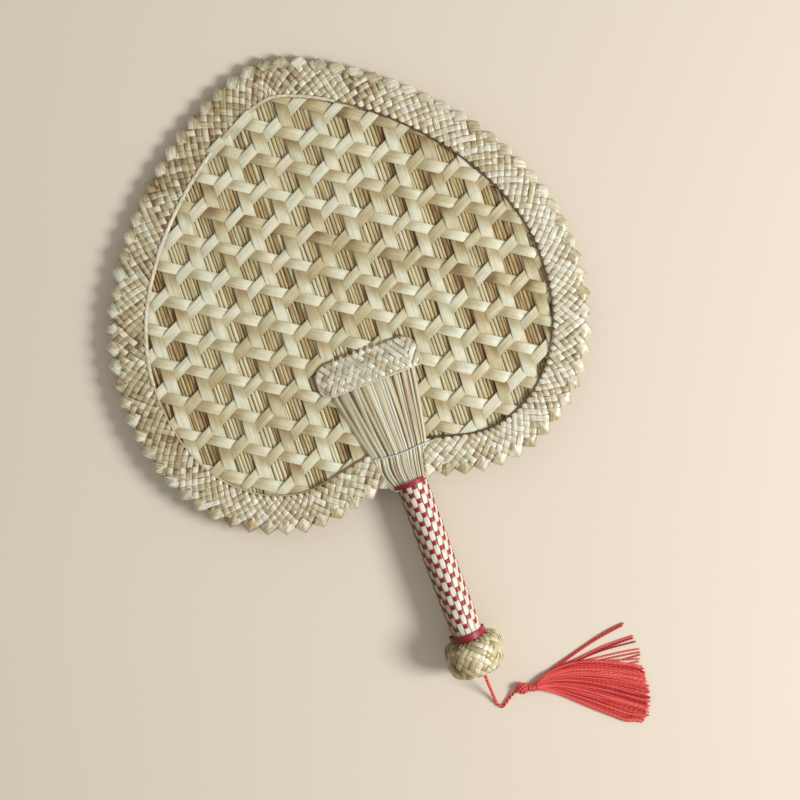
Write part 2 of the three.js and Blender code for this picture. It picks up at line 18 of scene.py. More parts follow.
import bmesh
import bpy
from mathutils import Matrix, Vector, noise
from mathutils.geometry import interpolate_bezier
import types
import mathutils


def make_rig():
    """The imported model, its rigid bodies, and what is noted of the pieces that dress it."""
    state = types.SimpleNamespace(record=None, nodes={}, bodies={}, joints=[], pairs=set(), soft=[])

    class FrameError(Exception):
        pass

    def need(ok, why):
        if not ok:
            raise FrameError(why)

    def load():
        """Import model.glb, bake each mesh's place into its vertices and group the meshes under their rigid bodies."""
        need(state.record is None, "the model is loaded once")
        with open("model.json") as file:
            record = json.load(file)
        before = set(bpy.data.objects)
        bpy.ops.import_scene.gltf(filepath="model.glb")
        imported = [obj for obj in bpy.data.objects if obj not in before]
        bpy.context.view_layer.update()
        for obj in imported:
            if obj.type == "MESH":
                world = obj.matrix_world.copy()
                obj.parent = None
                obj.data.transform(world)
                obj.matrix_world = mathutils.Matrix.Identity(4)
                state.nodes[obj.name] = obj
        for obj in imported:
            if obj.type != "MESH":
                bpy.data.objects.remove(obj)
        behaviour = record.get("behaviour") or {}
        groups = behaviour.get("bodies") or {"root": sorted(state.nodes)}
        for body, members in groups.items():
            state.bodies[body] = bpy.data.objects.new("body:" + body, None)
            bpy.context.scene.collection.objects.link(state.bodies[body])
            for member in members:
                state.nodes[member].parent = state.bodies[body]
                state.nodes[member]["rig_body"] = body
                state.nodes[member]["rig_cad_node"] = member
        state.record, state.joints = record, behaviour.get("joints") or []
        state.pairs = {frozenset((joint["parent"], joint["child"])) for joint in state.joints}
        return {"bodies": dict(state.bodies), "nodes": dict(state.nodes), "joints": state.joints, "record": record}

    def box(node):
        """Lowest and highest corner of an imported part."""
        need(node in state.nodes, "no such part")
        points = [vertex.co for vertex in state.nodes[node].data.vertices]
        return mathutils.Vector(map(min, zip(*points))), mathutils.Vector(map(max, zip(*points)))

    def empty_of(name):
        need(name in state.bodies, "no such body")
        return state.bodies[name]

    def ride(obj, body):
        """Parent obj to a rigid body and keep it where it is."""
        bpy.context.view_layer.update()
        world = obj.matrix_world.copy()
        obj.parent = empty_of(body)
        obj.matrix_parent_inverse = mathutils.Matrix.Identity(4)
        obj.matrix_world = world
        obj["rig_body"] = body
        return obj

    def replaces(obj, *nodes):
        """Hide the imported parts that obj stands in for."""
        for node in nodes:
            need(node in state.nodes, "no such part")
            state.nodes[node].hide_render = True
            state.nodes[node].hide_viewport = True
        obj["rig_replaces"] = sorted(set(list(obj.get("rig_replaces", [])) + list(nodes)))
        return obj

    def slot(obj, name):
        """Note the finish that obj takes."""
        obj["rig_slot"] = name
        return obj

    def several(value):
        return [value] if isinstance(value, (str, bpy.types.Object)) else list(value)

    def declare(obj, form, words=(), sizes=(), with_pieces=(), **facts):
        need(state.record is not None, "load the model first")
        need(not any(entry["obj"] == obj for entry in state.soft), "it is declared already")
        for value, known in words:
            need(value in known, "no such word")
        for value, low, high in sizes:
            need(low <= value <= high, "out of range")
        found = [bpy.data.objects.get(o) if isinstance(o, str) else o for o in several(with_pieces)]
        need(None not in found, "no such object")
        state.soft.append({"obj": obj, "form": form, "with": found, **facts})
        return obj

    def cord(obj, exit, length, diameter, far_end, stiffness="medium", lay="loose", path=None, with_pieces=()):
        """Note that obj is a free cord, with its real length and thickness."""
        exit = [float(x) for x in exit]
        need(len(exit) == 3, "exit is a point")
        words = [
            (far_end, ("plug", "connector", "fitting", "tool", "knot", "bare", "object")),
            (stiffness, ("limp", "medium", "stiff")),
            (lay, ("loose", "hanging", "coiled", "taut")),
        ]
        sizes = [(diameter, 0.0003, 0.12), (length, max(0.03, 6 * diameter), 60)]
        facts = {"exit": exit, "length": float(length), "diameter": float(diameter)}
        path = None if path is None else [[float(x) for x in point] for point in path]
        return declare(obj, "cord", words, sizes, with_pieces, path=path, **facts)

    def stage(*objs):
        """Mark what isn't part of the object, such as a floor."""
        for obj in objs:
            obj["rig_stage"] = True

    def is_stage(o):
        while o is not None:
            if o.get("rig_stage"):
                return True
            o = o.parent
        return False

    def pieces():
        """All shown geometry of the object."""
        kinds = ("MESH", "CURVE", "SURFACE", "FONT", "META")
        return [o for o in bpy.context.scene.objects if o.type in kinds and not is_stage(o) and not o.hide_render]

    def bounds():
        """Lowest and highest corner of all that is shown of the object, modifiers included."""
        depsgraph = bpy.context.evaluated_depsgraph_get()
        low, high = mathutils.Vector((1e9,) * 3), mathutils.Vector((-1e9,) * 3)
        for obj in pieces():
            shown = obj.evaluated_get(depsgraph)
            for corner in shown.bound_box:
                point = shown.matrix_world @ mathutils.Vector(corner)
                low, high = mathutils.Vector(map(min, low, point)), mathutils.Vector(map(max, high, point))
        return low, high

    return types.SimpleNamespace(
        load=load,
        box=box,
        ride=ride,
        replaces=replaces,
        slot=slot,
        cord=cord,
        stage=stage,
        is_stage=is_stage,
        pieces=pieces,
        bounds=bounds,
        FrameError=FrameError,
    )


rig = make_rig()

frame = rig.load()
cad_low, cad_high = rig.bounds()

LOG = logging.getLogger("straw_fan")
MM = 0.001
TURN = 2 * math.pi
PHASES = (0.0, 6.0)
SIZE_FILE = "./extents.json"
COLOUR, NUMBER, WAY = "NodeSocketColor", "NodeSocketFloat", "NodeSocketVector"

Pair = Tuple[float, float]
Triple = Tuple[float, float, float]
Socket = bpy.types.NodeSocket
Colour = Triple
Line = Callable[[float], Vector]
Shape = Callable[[float, float], Vector]
Section = Callable[[float, float], Pair]
Surface = Callable[[float, float], Tuple[Vector, Vector]]
Outside = Callable[[Vector], bool]


def clamp(value: float, low: float = 0.0, high: float = 1.0) -> float:
    """A value held between two ends."""
    return min(high, max(low, value))


def mix(a: float, b: float, share: float) -> float:
    """The value that lies a share of the way from a to b."""
    return a + (b - a) * share


def ease(share: float) -> float:
    """A smooth step from 0 to 1, held at both ends."""
    held = clamp(share)
    return held * held * (3 - 2 * held)


def xyz(x: float, y: float, z: float = 0.0) -> Vector:
    """A point or a way."""
    return Vector((x, y, z))


def left_of(way: Vector) -> Vector:
    """The way to the left of another one, seen from the front."""
    return xyz(-way.y, way.x)


def oval(wide: float, high: float, angle: float) -> Pair:
    """The point at an angle on an oval with two half widths."""
    return wide * math.cos(angle), high * math.sin(angle)


def srgb(red: int, green: int, blue: int) -> Colour:
    """A linear colour from one written as the eye sees it, from 0 to 255."""
    return tuple((value / 255) ** 2.2 for value in (red, green, blue))


def middle_of(node: str) -> Vector:
    """The middle of a node's box, in metres."""
    low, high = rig.box(node)
    return (low + high) / 2


class Face(Enum):
    """The two faces of the blade, with the side of the middle plane that each lies on."""

    FRONT = 1
    BACK = -1

    @property
    def word(self) -> str:
        """The face's name, as node names spell it."""
        return self.name.lower()


class Slant(Enum):
    """Which way a plait's straw runs as it goes in from the edge."""

    FORWARD = 1
    BACKWARD = -1


@dataclass(frozen=True)
class Dryness:
    """The tints of one kind of straw: their mean, how far they stray, and the most they reach."""

    mean: float
    spread: float
    most: float = 1.0

    def of(self, draw: random.Random, shade_and_tone: float = 0.0) -> float:
        """One straw's tint, shifted by its place; callers pass painted shade and painted light this way, and the
        border also a darker tip.
        """
        return clamp(draw.gauss(self.mean + shade_and_tone, self.spread), 0.0, self.most)


@dataclass(frozen=True)
class Strips:
    """One family of the net: its turn in degrees, its width, its tints and its shade's depth."""

    turn: float
    width: float
    dryness: Dryness
    contrast: float


class Lay(Enum):
    """The net's three families of strips, each over the one before it and under the next."""

    UPRIGHT = Strips(0, 7.1, Dryness(0.44, 0.15, 0.72), 0.28)
    FALLING = Strips(60, 6.7, Dryness(0.4, 0.15, 0.72), 0.22)
    RISING = Strips(-60, 5.8, Dryness(0.23, 0.15, 0.72), 0.05)


@dataclass
class Places:
    """The blade's, the handle's and the tassel's own frames, found from the frame's nodes."""

    handle_offset: float = 4.8

    def __post_init__(self) -> None:
        """Finds the frames from the collars, the bead and the knot in the knob."""
        top, unit = middle_of("upper_collar"), Matrix.Scale(MM, 4)
        self.way = (middle_of("lower_collar") - top).normalized()
        tilt = math.atan2(self.way.z, -self.way.y)
        turned = Matrix.Translation(top) @ Matrix.Rotation(-tilt, 4, "X")
        self.blade = turned @ unit @ Matrix.Translation((-self.handle_offset, 0, 0))
        self.handle = turned @ Matrix.Rotation(math.asin(self.way.x), 4, "Z") @ unit
        self.bead = middle_of("tassel_bead")
        self.tassel = Matrix.Translation(self.bead) @ unit
        self.floor = -self.bead.z / MM
        self.exit = middle_of("exit_knot")
        self.up = (turned.to_3x3() @ xyz(0, 0, 1)).normalized()


class NodeTree:
    """Adds shader nodes to one tree and links their sockets."""

    def __init__(self, tree: bpy.types.NodeTree) -> None:
        """Keeps a material's, world's or group's node tree."""
        self.tree = tree

    def feed(self, target: Socket, value: object) -> None:
        """Links a socket, or sets its value.

        Args:
            target: The socket to feed.
            value: A socket to link from, or a plain value.
        """
        if isinstance(value, Socket):
            self.tree.links.new(value, target)
        else:
            target.default_value = (*value, 1.0) if target.type == "RGBA" else value

    def result(
        self, kind: str, inputs: Dict[object, object], output: object, **settings: object
    ) -> Socket:
        """Adds a node and feeds it.

        Args:
            kind: The node's type name.
            inputs: A socket or plain value for each input, by its name or number.
            output: Name or number of the output that is wanted.
            **settings: Properties of the node by name.

        Returns:
            The output socket.
        """
        node = self.tree.nodes.new(kind)
        for name, value in settings.items():
            setattr(node, name, value)
        for label, value in inputs.items():
            self.feed(node.inputs[label], value)
        return node.outputs[output]

    def math(self, operation: str, first: object, second: object = 0.0) -> Socket:
        """Two numbers or sockets put through a math node."""
        return self.result("ShaderNodeMath", {0: first, 1: second}, 0, operation=operation)

    def times(self, first: object, second: object) -> Socket:
        """The product of two numbers or sockets."""
        return self.math("MULTIPLY", first, second)

    def remap(
        self, value: object, low: float, high: float, to_low: float = 0.0, to_high: float = 1.0
    ) -> Socket:
        """A value moved from one range to another, held at both ends."""
        ends = {"From Min": low, "From Max": high, "To Min": to_low, "To Max": to_high}
        return self.result("ShaderNodeMapRange", {"Value": value, **ends}, "Result")

    def noise(
        self, vector: object, stretch: object, detail: float = 2.0, roughness: float = 0.5
    ) -> Socket:
        """Noise with repeats per unit on each axis.

        Args:
            vector: The socket with the coordinates.
            stretch: Repeats on the three axes, as numbers or a socket.
            detail: Number of finer layers.
            roughness: Weight of the finer layers.

        Returns:
            The socket with its value, 0 to 1.
        """
        place = self.result(
            "ShaderNodeVectorMath", {0: vector, 1: stretch}, "Vector", operation="MULTIPLY"
        )
        inputs = {"Vector": place, "Scale": 1.0, "Detail": detail, "Roughness": roughness}
        return self.result("ShaderNodeTexNoise", inputs, "Fac")

    def blend(
        self, share: object, first: object, second: object, mode: str = "MIX"
    ) -> Socket:
        """Two colours mixed by a share of the second."""
        inputs = {"Factor": share, 6: first, 7: second}
        return self.result("ShaderNodeMix", inputs, 2, data_type="RGBA", blend_type=mode)

    def tinted(self, colour: object, tint: object) -> Socket:
        """One colour multiplied by another."""
        return self.blend(1.0, colour, tint, "MULTIPLY")

    def marks(self) -> Tuple[Socket, Socket, Socket]:
        """The mesh's fibre coordinates, the one across the fibres, and the tint."""
        fibre = self.result("ShaderNodeAttribute", {}, "Vector", attribute_name="fibre")
        tint = self.result("ShaderNodeAttribute", {}, "Fac", attribute_name="tint")
        return fibre, self.result("ShaderNodeSeparateXYZ", {0: fibre}, "Y"), tint


class Groups:
    """The shader node groups that several finishes share."""

    def __init__(self) -> None:
        """Builds both groups once."""
        self.straw, self.yarn = self.straw_group(), self.yarn_group()

    @staticmethod
    def start(
        name: str, inputs: Dict[str, str], outputs: Dict[str, str]
    ) -> Tuple[NodeTree, object, object]:
        """A new group with its sockets.

        Args:
            name: The group's name.
            inputs: The kind of each input by name.
            outputs: The kind of each output by name.

        Returns:
            The group's NodeTree, the sockets that it is given and those that it gives.
        """
        tree = bpy.data.node_groups.new(name, "ShaderNodeTree")
        for direction, sockets in (("INPUT", inputs), ("OUTPUT", outputs)):
            for label, kind in sockets.items():
                tree.interface.new_socket(name=label, in_out=direction, socket_type=kind)
        given, gives = tree.nodes.new("NodeGroupInput"), tree.nodes.new("NodeGroupOutput")
        return NodeTree(tree), given.outputs, gives.inputs

    def straw_group(self) -> bpy.types.NodeTree:
        """Dry straw: colour by straw and along it, lengthwise fibres, and darker edges that are partly painted shade
        in the grooves between straws.
        """
        nodes, given, gives = self.start(
            "dry_straw",
            {"Pale": COLOUR, "Cream": COLOUR, "Tan": COLOUR, "Dry": COLOUR, "Grain": WAY,
             "Mottle": NUMBER, "Streaks": NUMBER, "Edges": NUMBER},
            {"Color": COLOUR, "Fibre": NUMBER, "Polish": NUMBER},
        )
        fibre, across, tint = nodes.marks()
        streak = nodes.noise(fibre, given["Grain"], 4.0, 0.62)
        tone = nodes.noise(fibre, (0.09, 0.45, 31.7))
        shift = nodes.times(nodes.math("SUBTRACT", tone, 0.5), given["Mottle"])
        place = nodes.math("ADD", tint, shift)
        colour = given["Pale"]
        for label, low, high in (("Cream", 0.0, 0.38), ("Tan", 0.38, 0.72), ("Dry", 0.72, 1.05)):
            colour = nodes.blend(nodes.remap(place, low, high), colour, given[label])
        share = nodes.times(nodes.remap(streak, 0.4, 0.66), given["Streaks"])
        streaked = nodes.blend(share, colour, nodes.tinted(colour, (0.58, 0.5, 0.4)))
        # Painted shade and tone: each straw darkens towards its sides, for the shade in the grooves between straws and
        # for their browner edges.
        side = nodes.remap(nodes.math("ABSOLUTE", across), 0.72, 1.0)
        edge = nodes.tinted(colour, (0.42, 0.32, 0.22))
        edge_shaded = nodes.blend(nodes.times(side, given["Edges"]), streaked, edge)
        drift = nodes.remap(nodes.noise(fibre, (0.11, 0.2, 57.3), 1.0), 0.32, 0.68)
        warm, cool = (1.09, 0.97, 0.86), (0.92, 1.03, 1.06)
        hued = nodes.tinted(edge_shaded, nodes.blend(drift, warm, cool))
        nodes.feed(gives["Color"], nodes.blend(nodes.times(given["Mottle"], 0.45), edge_shaded, hued))
        nodes.feed(gives["Fibre"], streak)
        nodes.feed(gives["Polish"], nodes.remap(tone, 0.3, 0.7))
        return nodes.tree

    def yarn_group(self) -> bpy.types.NodeTree:
        """Twisted yarn: fine filaments, with a painted highlight on the crowns and painted shade in the grooves
        between the plies.
        """
        nodes, given, gives = self.start(
            "twisted_yarn",
            {"Bright": COLOUR, "Deep": COLOUR, "Filaments": WAY},
            {"Color": COLOUR, "Fibre": NUMBER},
        )
        fibre, reach, tint = nodes.marks()
        hairs = nodes.noise(fibre, given["Filaments"], 3.0, 0.6)
        # Painted light: the crowns of the plies take the bright colour and the grooves the deep one.
        lit = nodes.times(nodes.remap(reach, 0.62, 0.97), nodes.remap(hairs, 0.3, 0.7, 0.55, 1.0))
        share = nodes.times(lit, nodes.remap(tint, 0.0, 1.0, -0.15, 1.3))
        nodes.feed(gives["Color"], nodes.blend(share, given["Deep"], given["Bright"]))
        nodes.feed(gives["Fibre"], hairs)
        return nodes.tree


class Material(NodeTree):
    """A new material with its shader."""

    def __init__(self, name: str) -> None:
        """Makes the material by its name."""
        self.made = bpy.data.materials.new(name)
        self.made.use_nodes = True
        super().__init__(self.made.node_tree)

    def shared(self, group: bpy.types.NodeTree, values: Dict[str, object]) -> object:
        """Places a shared group.

        Args:
            group: The group.
            values: This material's own values by the group's labels.

        Returns:
            The group's output sockets.
        """
        node = self.tree.nodes.new("ShaderNodeGroup")
        node.node_tree = group
        for label, value in values.items():
            self.feed(node.inputs[label], value)
        return node.outputs

    def dress(
        self, values: Dict[str, object], height: object = None, relief: float = 0.0
    ) -> bpy.types.Material:
        """Feeds the shader and bumps it by the fibres.

        Args:
            values: A socket or plain value for each of the shader's inputs.
            height: The socket with the fibres' height, if they stand out.
            relief: The height's reach, in metres.

        Returns:
            The material.
        """
        shader = self.tree.nodes["Principled BSDF"]
        for label, value in values.items():
            self.feed(shader.inputs[label], value)
        if height:
            inputs = {"Strength": 1.0, "Distance": relief, "Height": height}
            self.feed(shader.inputs["Normal"], self.result("ShaderNodeBump", inputs, "Normal"))
        return self.made


@dataclass(frozen=True)
class StrawFinish:
    """A straw or strip of cane, from its palest straws to its driest."""

    name: str
    pale: Colour
    cream: Colour
    tan: Colour
    dry: Colour
    grain: Triple = (0.05, 7.0, 23.0)
    mottle: float = 0.7
    streaks: float = 0.6
    # Strength of the darkening at each straw's sides, partly painted shade between straws.
    edges: float = 0.35
    roughness: float = 0.42
    coat: float = 0.15
    coat_roughness: float = 0.22
    relief: float = 0.00008

    def build(self, groups: Groups) -> bpy.types.Material:
        """Makes the material from the shared groups."""
        made = Material(self.name)
        group = made.shared(groups.straw, {
            "Pale": self.pale, "Cream": self.cream, "Tan": self.tan, "Dry": self.dry,
            "Grain": self.grain, "Mottle": self.mottle, "Streaks": self.streaks,
            "Edges": self.edges,
        })
        smooth, rough = self.roughness - 0.08, self.roughness + 0.12
        return made.dress({
            "Base Color": group["Color"], "Coat Weight": self.coat,
            "Coat Roughness": self.coat_roughness,
            "Roughness": made.remap(group["Polish"], 0.0, 1.0, smooth, rough),
        }, group["Fibre"], self.relief)


@dataclass(frozen=True)
class YarnFinish:
    """A twisted yarn or thread."""

    name: str
    bright: Colour
    deep: Colour
    filaments: Triple = (2.2, 9.0, 41.0)
    roughness: float = 0.6
    sheen: float = 0.1
    relief: float = 0.00006

    def build(self, groups: Groups) -> bpy.types.Material:
        """Makes the material from the shared groups."""
        made = Material(self.name)
        group = made.shared(
            groups.yarn, {"Bright": self.bright, "Deep": self.deep, "Filaments": self.filaments}
        )
        values = {"Roughness": self.roughness, "Sheen Weight": self.sheen}
        return made.dress({"Base Color": group["Color"], **values}, group["Fibre"], self.relief)


@dataclass(frozen=True)
class WoodFinish:
    """Plain turned wood or cane, with its grain along the handle."""

    name: str
    light: Colour
    dark: Colour
    roughness: float = 0.6
    relief: float = 0.0001

    def build(self, groups: Groups) -> bpy.types.Material:
        """Makes the material, which needs none of the shared groups."""
        made = Material(self.name)
        place = made.result("ShaderNodeTexCoord", {}, "Object")
        grain = made.noise(place, (900.0, 40.0, 900.0), 4.0, 0.6)
        base = made.blend(grain, self.light, self.dark)
        return made.dress({"Base Color": base, "Roughness": self.roughness}, grain, self.relief)


def build_finishes() -> Dict[str, bpy.types.Material]:
    """Every finish on the fan by its name, built once."""
    groups = Groups()
    return {finish.name: finish.build(groups) for finish in (
        StrawFinish(
            "strip_straw", srgb(233, 232, 207), srgb(207, 197, 157), srgb(184, 165, 122),
            srgb(138, 108, 70), mottle=1.0, streaks=0.55, edges=0.25, roughness=0.34, coat=0.35,
        ),
        StrawFinish(
            "stalk_straw", srgb(226, 220, 184), srgb(204, 188, 141), srgb(167, 138, 90),
            srgb(112, 84, 48), grain=(0.06, 3.0, 23.0), mottle=1.0, edges=0.9, roughness=0.45,
        ),
        StrawFinish(
            "border_straw", srgb(243, 241, 224), srgb(209, 202, 170), srgb(184, 167, 127),
            srgb(120, 100, 70), grain=(0.08, 4.0, 23.0), mottle=1.4, streaks=0.9, edges=1.0,
            roughness=0.34, coat=0.5, relief=0.00016,
        ),
        StrawFinish(
            "stem_straw", srgb(234, 238, 221), srgb(219, 214, 185), srgb(196, 180, 142),
            srgb(106, 82, 52), grain=(0.03, 4.0, 23.0), mottle=0.6, streaks=0.9, edges=0.9,
            roughness=0.34, coat=0.35,
        ),
        StrawFinish(
            "knob_straw", srgb(234, 229, 202), srgb(212, 200, 158), srgb(176, 154, 104),
            srgb(104, 78, 44), grain=(0.08, 4.0, 23.0), edges=1.0, roughness=0.34, coat=0.4,
        ),
        StrawFinish(
            "sleeve_straw", srgb(236, 233, 214), srgb(212, 203, 176), srgb(172, 156, 126),
            srgb(116, 94, 70), grain=(0.06, 4.0, 23.0), mottle=0.8, edges=0.6,
        ),
        StrawFinish(
            "cane", srgb(216, 208, 176), srgb(176, 146, 98), srgb(110, 82, 48),
            srgb(60, 42, 24), mottle=0.5, edges=0.6,
        ),
        StrawFinish(
            "crimson_strip", srgb(184, 30, 64), srgb(164, 20, 50), srgb(138, 12, 36),
            srgb(92, 6, 22), grain=(0.08, 6.0, 23.0), mottle=0.6, edges=0.5, roughness=0.4,
        ),
        YarnFinish(
            "red_yarn", srgb(255, 112, 102), srgb(178, 2, 12), roughness=0.48, sheen=0.12
        ),
        YarnFinish("thread", srgb(226, 232, 232), srgb(160, 172, 178)),
        WoodFinish("stick_wood", srgb(206, 176, 128), srgb(150, 112, 70)),
    )}


def rounded(wide: float, high: float) -> Section:
    """The section of a plain straw with two half widths."""
    return lambda share, angle: oval(wide, high, angle)


@dataclass(frozen=True)
class Yarn:
    """A two-ply yarn or thread, and the faces along and round it that it is made with.

    The plies turn once in its lay, and the groove is the depth between them as a share of the
    radius.
    """

    radius: float
    lay: float
    tint: float
    steps: int
    sides: int = 6
    groove: float = 0.3

    def section(self, length: float) -> Section:
        """The section of a given length of it, turning as it goes."""

        def section(share: float, angle: float) -> Pair:
            """A circle, pinched at the grooves."""
            turn = TURN * share * length / self.lay
            reach = self.radius * (1 - self.groove * math.sin(angle - turn) ** 2)
            return oval(reach, reach, angle)

        return section


class StrandMesh:
    """Collects strips, straws and threads in one mesh, with their fibres' run and their tints."""

    strand_offset = 0.37

    def __init__(self, fan: "Fan", place: Matrix, seed: int) -> None:
        """Starts an empty mesh.

        Args:
            fan: The fan, which has the finishes.
            place: From the sub-assembly's own millimetres to the model's frame.
            seed: Seed of this mesh's random draws.
        """
        self.mesh = bmesh.new()
        self.fibre = self.mesh.verts.layers.float_vector.new("fibre")
        self.tint = self.mesh.verts.layers.float.new("tint")
        self.finishes = fan.finishes
        self.place = place
        self.draw = random.Random(seed)
        self.strands = 0

    def strip(
        self, steps: int, columns: int, shape: Shape, length: float, tint: float,
        outside: Optional[Outside] = None, shade: Optional[Callable[[float, float], float]] = None,
    ) -> List[bmesh.types.BMVert]:
        """Adds a flat strip.

        Args:
            steps: Faces along the strip.
            columns: Faces across it.
            shape: Place of a point from its share along, 0 to 1, and its side, -1 to 1.
            length: The strip's length in millimetres.
            tint: The straw's tint.
            outside: Says which points are left out of the strip.
            shade: What the tint gains at a share along and a side.

        Returns:
            The corners that it was made with.
        """
        self.strands += 1
        made = bmesh.ops.create_grid(
            self.mesh, x_segments=steps, y_segments=columns, size=1.0
        )["verts"]
        for vert in made:
            along, across = (vert.co.x + 1) / 2, vert.co.y
            vert[self.fibre] = (along * length, across, self.strands * self.strand_offset)
            vert[self.tint] = tint + (shade(along, across) if shade else 0.0)
            vert.co = shape(along, across)
        if outside:
            faces = {face for vert in made for face in vert.link_faces}
            lost = [face for face in faces if outside(face.calc_center_median())]
            bmesh.ops.delete(self.mesh, geom=lost, context="FACES")
        return made

    def straw(
        self, steps: int, sides: int, line: Line, section: Section, length: float, tint: float,
        up: Vector = Vector((0, 0, 1)), plied: bool = False,
    ) -> None:
        """Adds a closed straw or thread round a line.

        Args:
            steps: Faces along.
            sides: Faces round it.
            line: Place of the middle at a share along, 0 to 1.
            section: Sideways and upward reach at a share along and an angle, in radians.
            length: Length in millimetres.
            tint: Its tint.
            up: Roughly the upward way of the section.
            plied: Whether the fibres' second value is the section's reach and not the side.
        """
        reach, frames = 0.5 / steps, []
        for step in range(steps + 1):
            share = step / steps
            ahead = line(min(1.0, share + reach)) - line(max(0.0, share - reach))
            aside = ahead.cross(up).normalized()
            frames.append((line(share), aside, aside.cross(ahead).normalized()))

        def shape(along: float, across: float) -> Vector:
            """Wraps the grid's columns round the line."""
            middle, aside, above = frames[round(along * steps)]
            out, rise = section(along, across * math.pi - math.pi / 2)
            return middle + aside * out + above * rise

        seam = []
        for vert in self.strip(steps, sides, shape, length, tint):
            along, across, strand = vert[self.fibre]
            angle = across * math.pi - math.pi / 2
            side = math.cos(angle)
            if plied:
                thickest = max(
                    math.hypot(*section(along / length, turn)) for turn in (0, 0.8, 1.6, 2.4)
                )
                side = min(1.0, math.hypot(*section(along / length, angle)) / thickest)
            vert[self.fibre] = (along, side, strand)
            if abs(across) > 1 - 0.5 / sides:
                seam.append(vert)
        bmesh.ops.remove_doubles(self.mesh, verts=seam, dist=1e-4)

    def thread(
        self, yarn: Yarn, line: Line, length: float, up: Vector = Vector((0, 0, 1))
    ) -> None:
        """Adds a twisted thread or yarn.

        Args:
            yarn: The yarn.
            line: Place of its middle at a share along, 0 to 1.
            length: Length in millimetres.
            up: Roughly the upward way of the section.
        """
        section = yarn.section(length)
        self.straw(yarn.steps, yarn.sides, line, section, length, yarn.tint, up, plied=True)

    def retint(self, change: Callable[[Vector, float], float]) -> None:
        """Changes each corner's tint by its place and its tint so far."""
        for vert in self.mesh.verts:
            vert[self.tint] = change(vert.co, vert[self.tint])

    def finish(
        self, name: str, finish: str, *nodes: str, body: str = "fan", slot: str = "",
        wall: float = 0.0,
    ) -> bpy.types.Object:
        """Places the mesh, flattened where it would reach under the floor, and makes it a piece.

        Args:
            name: The piece's name.
            finish: Its finish's name.
            *nodes: The nodes that it stands for.
            body: The body that it rides on.
            slot: The record's material slot, where it isn't the finish's name.
            wall: Thickness of its strips in millimetres, or 0 for closed straws.

        Returns:
            The piece.
        """
        if not wall:
            ends = [edge for edge in self.mesh.edges if edge.is_boundary]
            bmesh.ops.holes_fill(self.mesh, edges=ends, sides=0)
            bmesh.ops.recalc_face_normals(self.mesh, faces=self.mesh.faces)
        for edge in self.mesh.edges:
            edge.smooth = edge.smooth and not edge.is_boundary
        bmesh.ops.transform(self.mesh, matrix=self.place, verts=self.mesh.verts)
        for vert in self.mesh.verts:
            vert.co.z = max(vert.co.z, (wall / 2 + 0.03) * MM)
        data = bpy.data.meshes.new(name)
        self.mesh.to_mesh(data)
        self.mesh.free()
        data.polygons.foreach_set("use_smooth", [True] * len(data.polygons))
        data.materials.append(self.finishes[finish])
        made = bpy.data.objects.new(name, data)
        bpy.context.scene.collection.objects.link(made)
        if wall:
            solid = made.modifiers.new("wall", "SOLIDIFY")
            solid.thickness = wall * MM
            solid.offset = 0.0
        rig.ride(made, body)
        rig.slot(made, slot or finish)
        if nodes:
            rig.replaces(made, *nodes)
        LOG.info("%s: %d faces, stands for %s", name, len(data.polygons), nodes or "no node")
        return made


def smooth_line(points: Sequence[Vector], parts: int) -> Iterator[Vector]:
    """Points of a smooth curve through given ones.

    Args:
        points: The points to pass through.
        parts: Steps between two of them.

    Yields:
        The curve's points.
    """
    ends = [2 * points[0] - points[1], *points, 2 * points[-1] - points[-2]]
    for before, here, ahead, after in zip(ends, ends[1:], ends[2:], ends[3:]):
        for step in range(parts):
            share = step / parts
            bend = 2 * before - 5 * here + 4 * ahead - after
            turn = 3 * here - before - 3 * ahead + after
            yield here + ((ahead - before) * share + bend * share ** 2 + turn * share ** 3) / 2
    yield points[-1]


class Route:
    """A line through points, measured along its length."""

    def __init__(self, points: Sequence[Vector]) -> None:
        """Measures the line from its first point to its last."""
        self.points = list(points)
        self.reaches = [0.0]
        for here, ahead in zip(self.points, self.points[1:]):
            self.reaches.append(self.reaches[-1] + (ahead - here).length)
        self.length = self.reaches[-1]

    def find(self, distance: float) -> Tuple[int, float]:
        """The stretch at a distance along the line, and the share of it that lies behind."""
        spot = int(clamp(bisect_right(self.reaches, distance) - 1, 0, len(self.points) - 2))
        low, high = self.reaches[spot], self.reaches[spot + 1]
        return spot, (distance - low) / (high - low)

    def at(self, distance: float) -> Vector:
        """The point at a distance along the line."""
        spot, share = self.find(distance)
        return self.points[spot].lerp(self.points[spot + 1], share)


